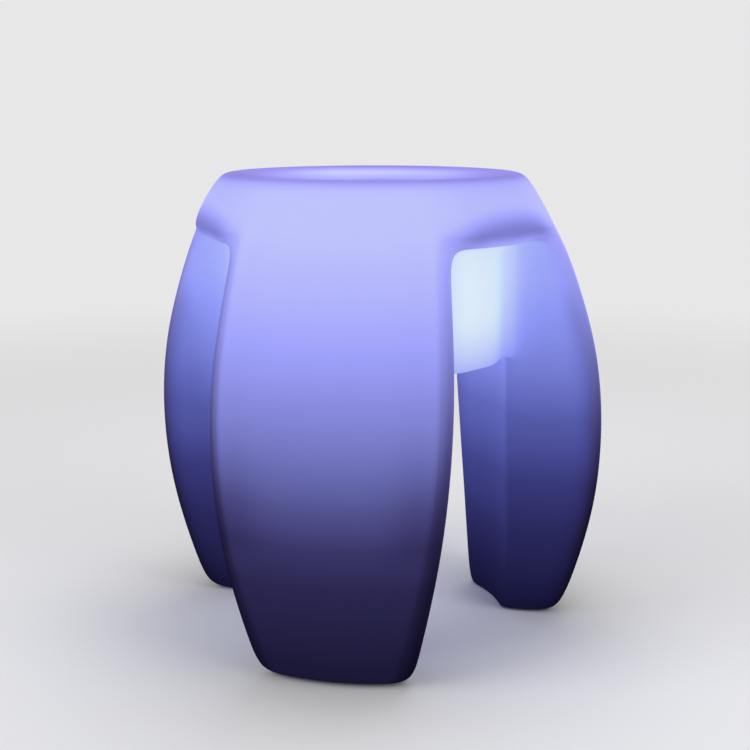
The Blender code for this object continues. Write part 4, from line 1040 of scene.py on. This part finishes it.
# Lamps
# Twelve light-emitting packages, eight in an outer ring and four in an inner one. Each is a
# white case round a pale yellow window that shines upwards.
LAMP_COUNT = 12
package = Finish("lamp_package", roughness=0.35, emission_strength=1.2)
nx, ny, nz = package.parts(package.normal)
window = nz.rise(0.6, 0.95)
speckle = package.noise(package.place, 3000)
white_case, no_light, violet = (0.82, 0.82, 0.80, 1), (0, 0, 0, 1), (0.72, 0.70, 1.0, 1)
yellow = package.mix(speckle, (0.90, 0.74, 0.22, 1), (0.95, 0.84, 0.40, 1))
package.wear(base_color=package.mix(window, white_case, yellow))
package.wear(emission_color=package.mix(window, no_light, violet))
package.bump(speckle, 0.00003)
dress(package, *[f"lamp_{number:02d}" for number in range(1, LAMP_COUNT + 1)])


# Dome diffuser
# A thin dome of opal polycarbonate stands over the lamps and spreads their light, a little
# unevenly. Its glow is painted light: an emission, brighter in patches, stands in for the lamps'
# light through it.
opal = moulded_plastic(
    "opal_polycarbonate", colour=(0.85, 0.85, 0.90), roughness=0.35, grain_scale=700, depth=0.00004
)
brighter = opal.noise(opal.place, 25).rise(0.3, 0.7)
# The dome's painted glow, brighter in patches
opal.wear(emission_color=opal.mix(brighter, (0.60, 0.62, 0.98, 1), (0.68, 0.74, 1.0, 1)))
opal.wear(emission_strength=0.6)
dress(opal, "dome_diffuser")


# Leads
# Two-core leads, red and black, run from the switch and the socket to the board and on to the
# lamps.
lead = Finish("two_core_lead")
nx, ny, nz = lead.parts(lead.normal)
black_core, red_core = (0.02, 0.02, 0.022, 1), (0.34, 0.02, 0.02, 1)
grain = lead.noise(lead.place, 1200)
lead.wear(base_color=lead.mix(nx.rise(-0.05, 0.05), black_core, red_core))
lead.wear(roughness=0.42 + 0.16 * grain)
lead.bump(grain, 0.00003)
dress(lead, "switch_lead", "charge_lead", "lamp_lead")


# Studio
# A pale floor under soft light from a large lamp on each side and one above, in a pale room
# that the gloss mirrors as brightly as it is seen. Far off, the floor fades into the room.
FLOOR_SIZE = 14.0
FLOOR_COLOUR = (0.80, 0.80, 0.81, 1)
ROOM_COLOUR = (0.80, 0.80, 0.81, 1)
ROOM_LIGHT = 0.45
FADE_FROM, FADE_TO = 0.7, 2.2

room = bpy.data.worlds.new("room")
bpy.context.scene.world = room
room.use_nodes = True


def seen_directly(nodes):
    """1 for what the camera, a reflection or a see-through piece shows, and 0 for mere light."""
    rays = ("Is Camera Ray", "Is Glossy Ray", "Is Transmission Ray")
    seen, mirrored, through = (nodes.add("ShaderNodeLightPath", output=ray) for ray in rays)
    return seen.at_least(mirrored).at_least(through)


air = Nodes(room.node_tree)
light = air.add("ShaderNodeBackground", (), {"Color": (1, 1, 1, 1), "Strength": ROOM_LIGHT})
seen = air.add("ShaderNodeBackground", (), {"Color": ROOM_COLOUR, "Strength": 1.0})
shown = air.add("ShaderNodeMixShader", (), {0: seen_directly(air), 1: light, 2: seen})
air.feed(room.node_tree.nodes["World Output"].inputs["Surface"], shown)

half = FLOOR_SIZE / 2
floor_mesh = bpy.data.meshes.new("floor")
corners = [(-half, -half, 0), (half, -half, 0), (half, half, 0), (-half, half, 0)]
floor_mesh.from_pydata(corners, [], [(0, 1, 2, 3)])
floor = bpy.data.objects.new("floor", floor_mesh)
bpy.context.scene.collection.objects.link(floor)
paint = Finish("floor_paint", roughness=0.9, specular_level=0.1, base_color=FLOOR_COLOUR)
x, y, z = paint.parts(paint.place)
fade = ((x * x + y * y) ** 0.5).rise(FADE_FROM, FADE_TO) * seen_directly(paint)
far = paint.add("ShaderNodeEmission", (), {"Color": ROOM_COLOUR, "Strength": 1.0})
near = Value(paint, paint.shader.outputs[0])
faded = paint.add("ShaderNodeMixShader", (), {0: fade, 1: near, 2: far})
paint.feed(paint.tree.nodes["Material Output"].inputs["Surface"], faded)
floor_mesh.materials.append(paint.material)

for name, place, width, power in (
    ("left_lamp", (-1.8, -1.6, 1.7), 1.6, 26),
    ("right_lamp", (2.0, -1.0, 1.5), 1.6, 16),
    ("top_lamp", (0.2, 0.6, 2.4), 1.8, 22),
):
    lamp = bpy.data.lights.new(name, "AREA")
    lamp.size = width
    lamp.energy = power
    stand = bpy.data.objects.new(name, lamp)
    bpy.context.scene.collection.objects.link(stand)
    aim = np.array((0, 0, SEAT_HEIGHT / 2)) - place
    turn = math.atan2(aim[1], aim[0]) - math.pi / 2
    dip = math.atan2(aim[2], math.hypot(aim[0], aim[1]))
    stand.matrix_world = (
        Matrix.Translation(place)
        @ Matrix.Rotation(turn, 4, "Z")
        @ Matrix.Rotation(math.pi / 2 + dip, 4, "X")
    )

bpy.context.scene.view_settings.view_transform = "Standard"
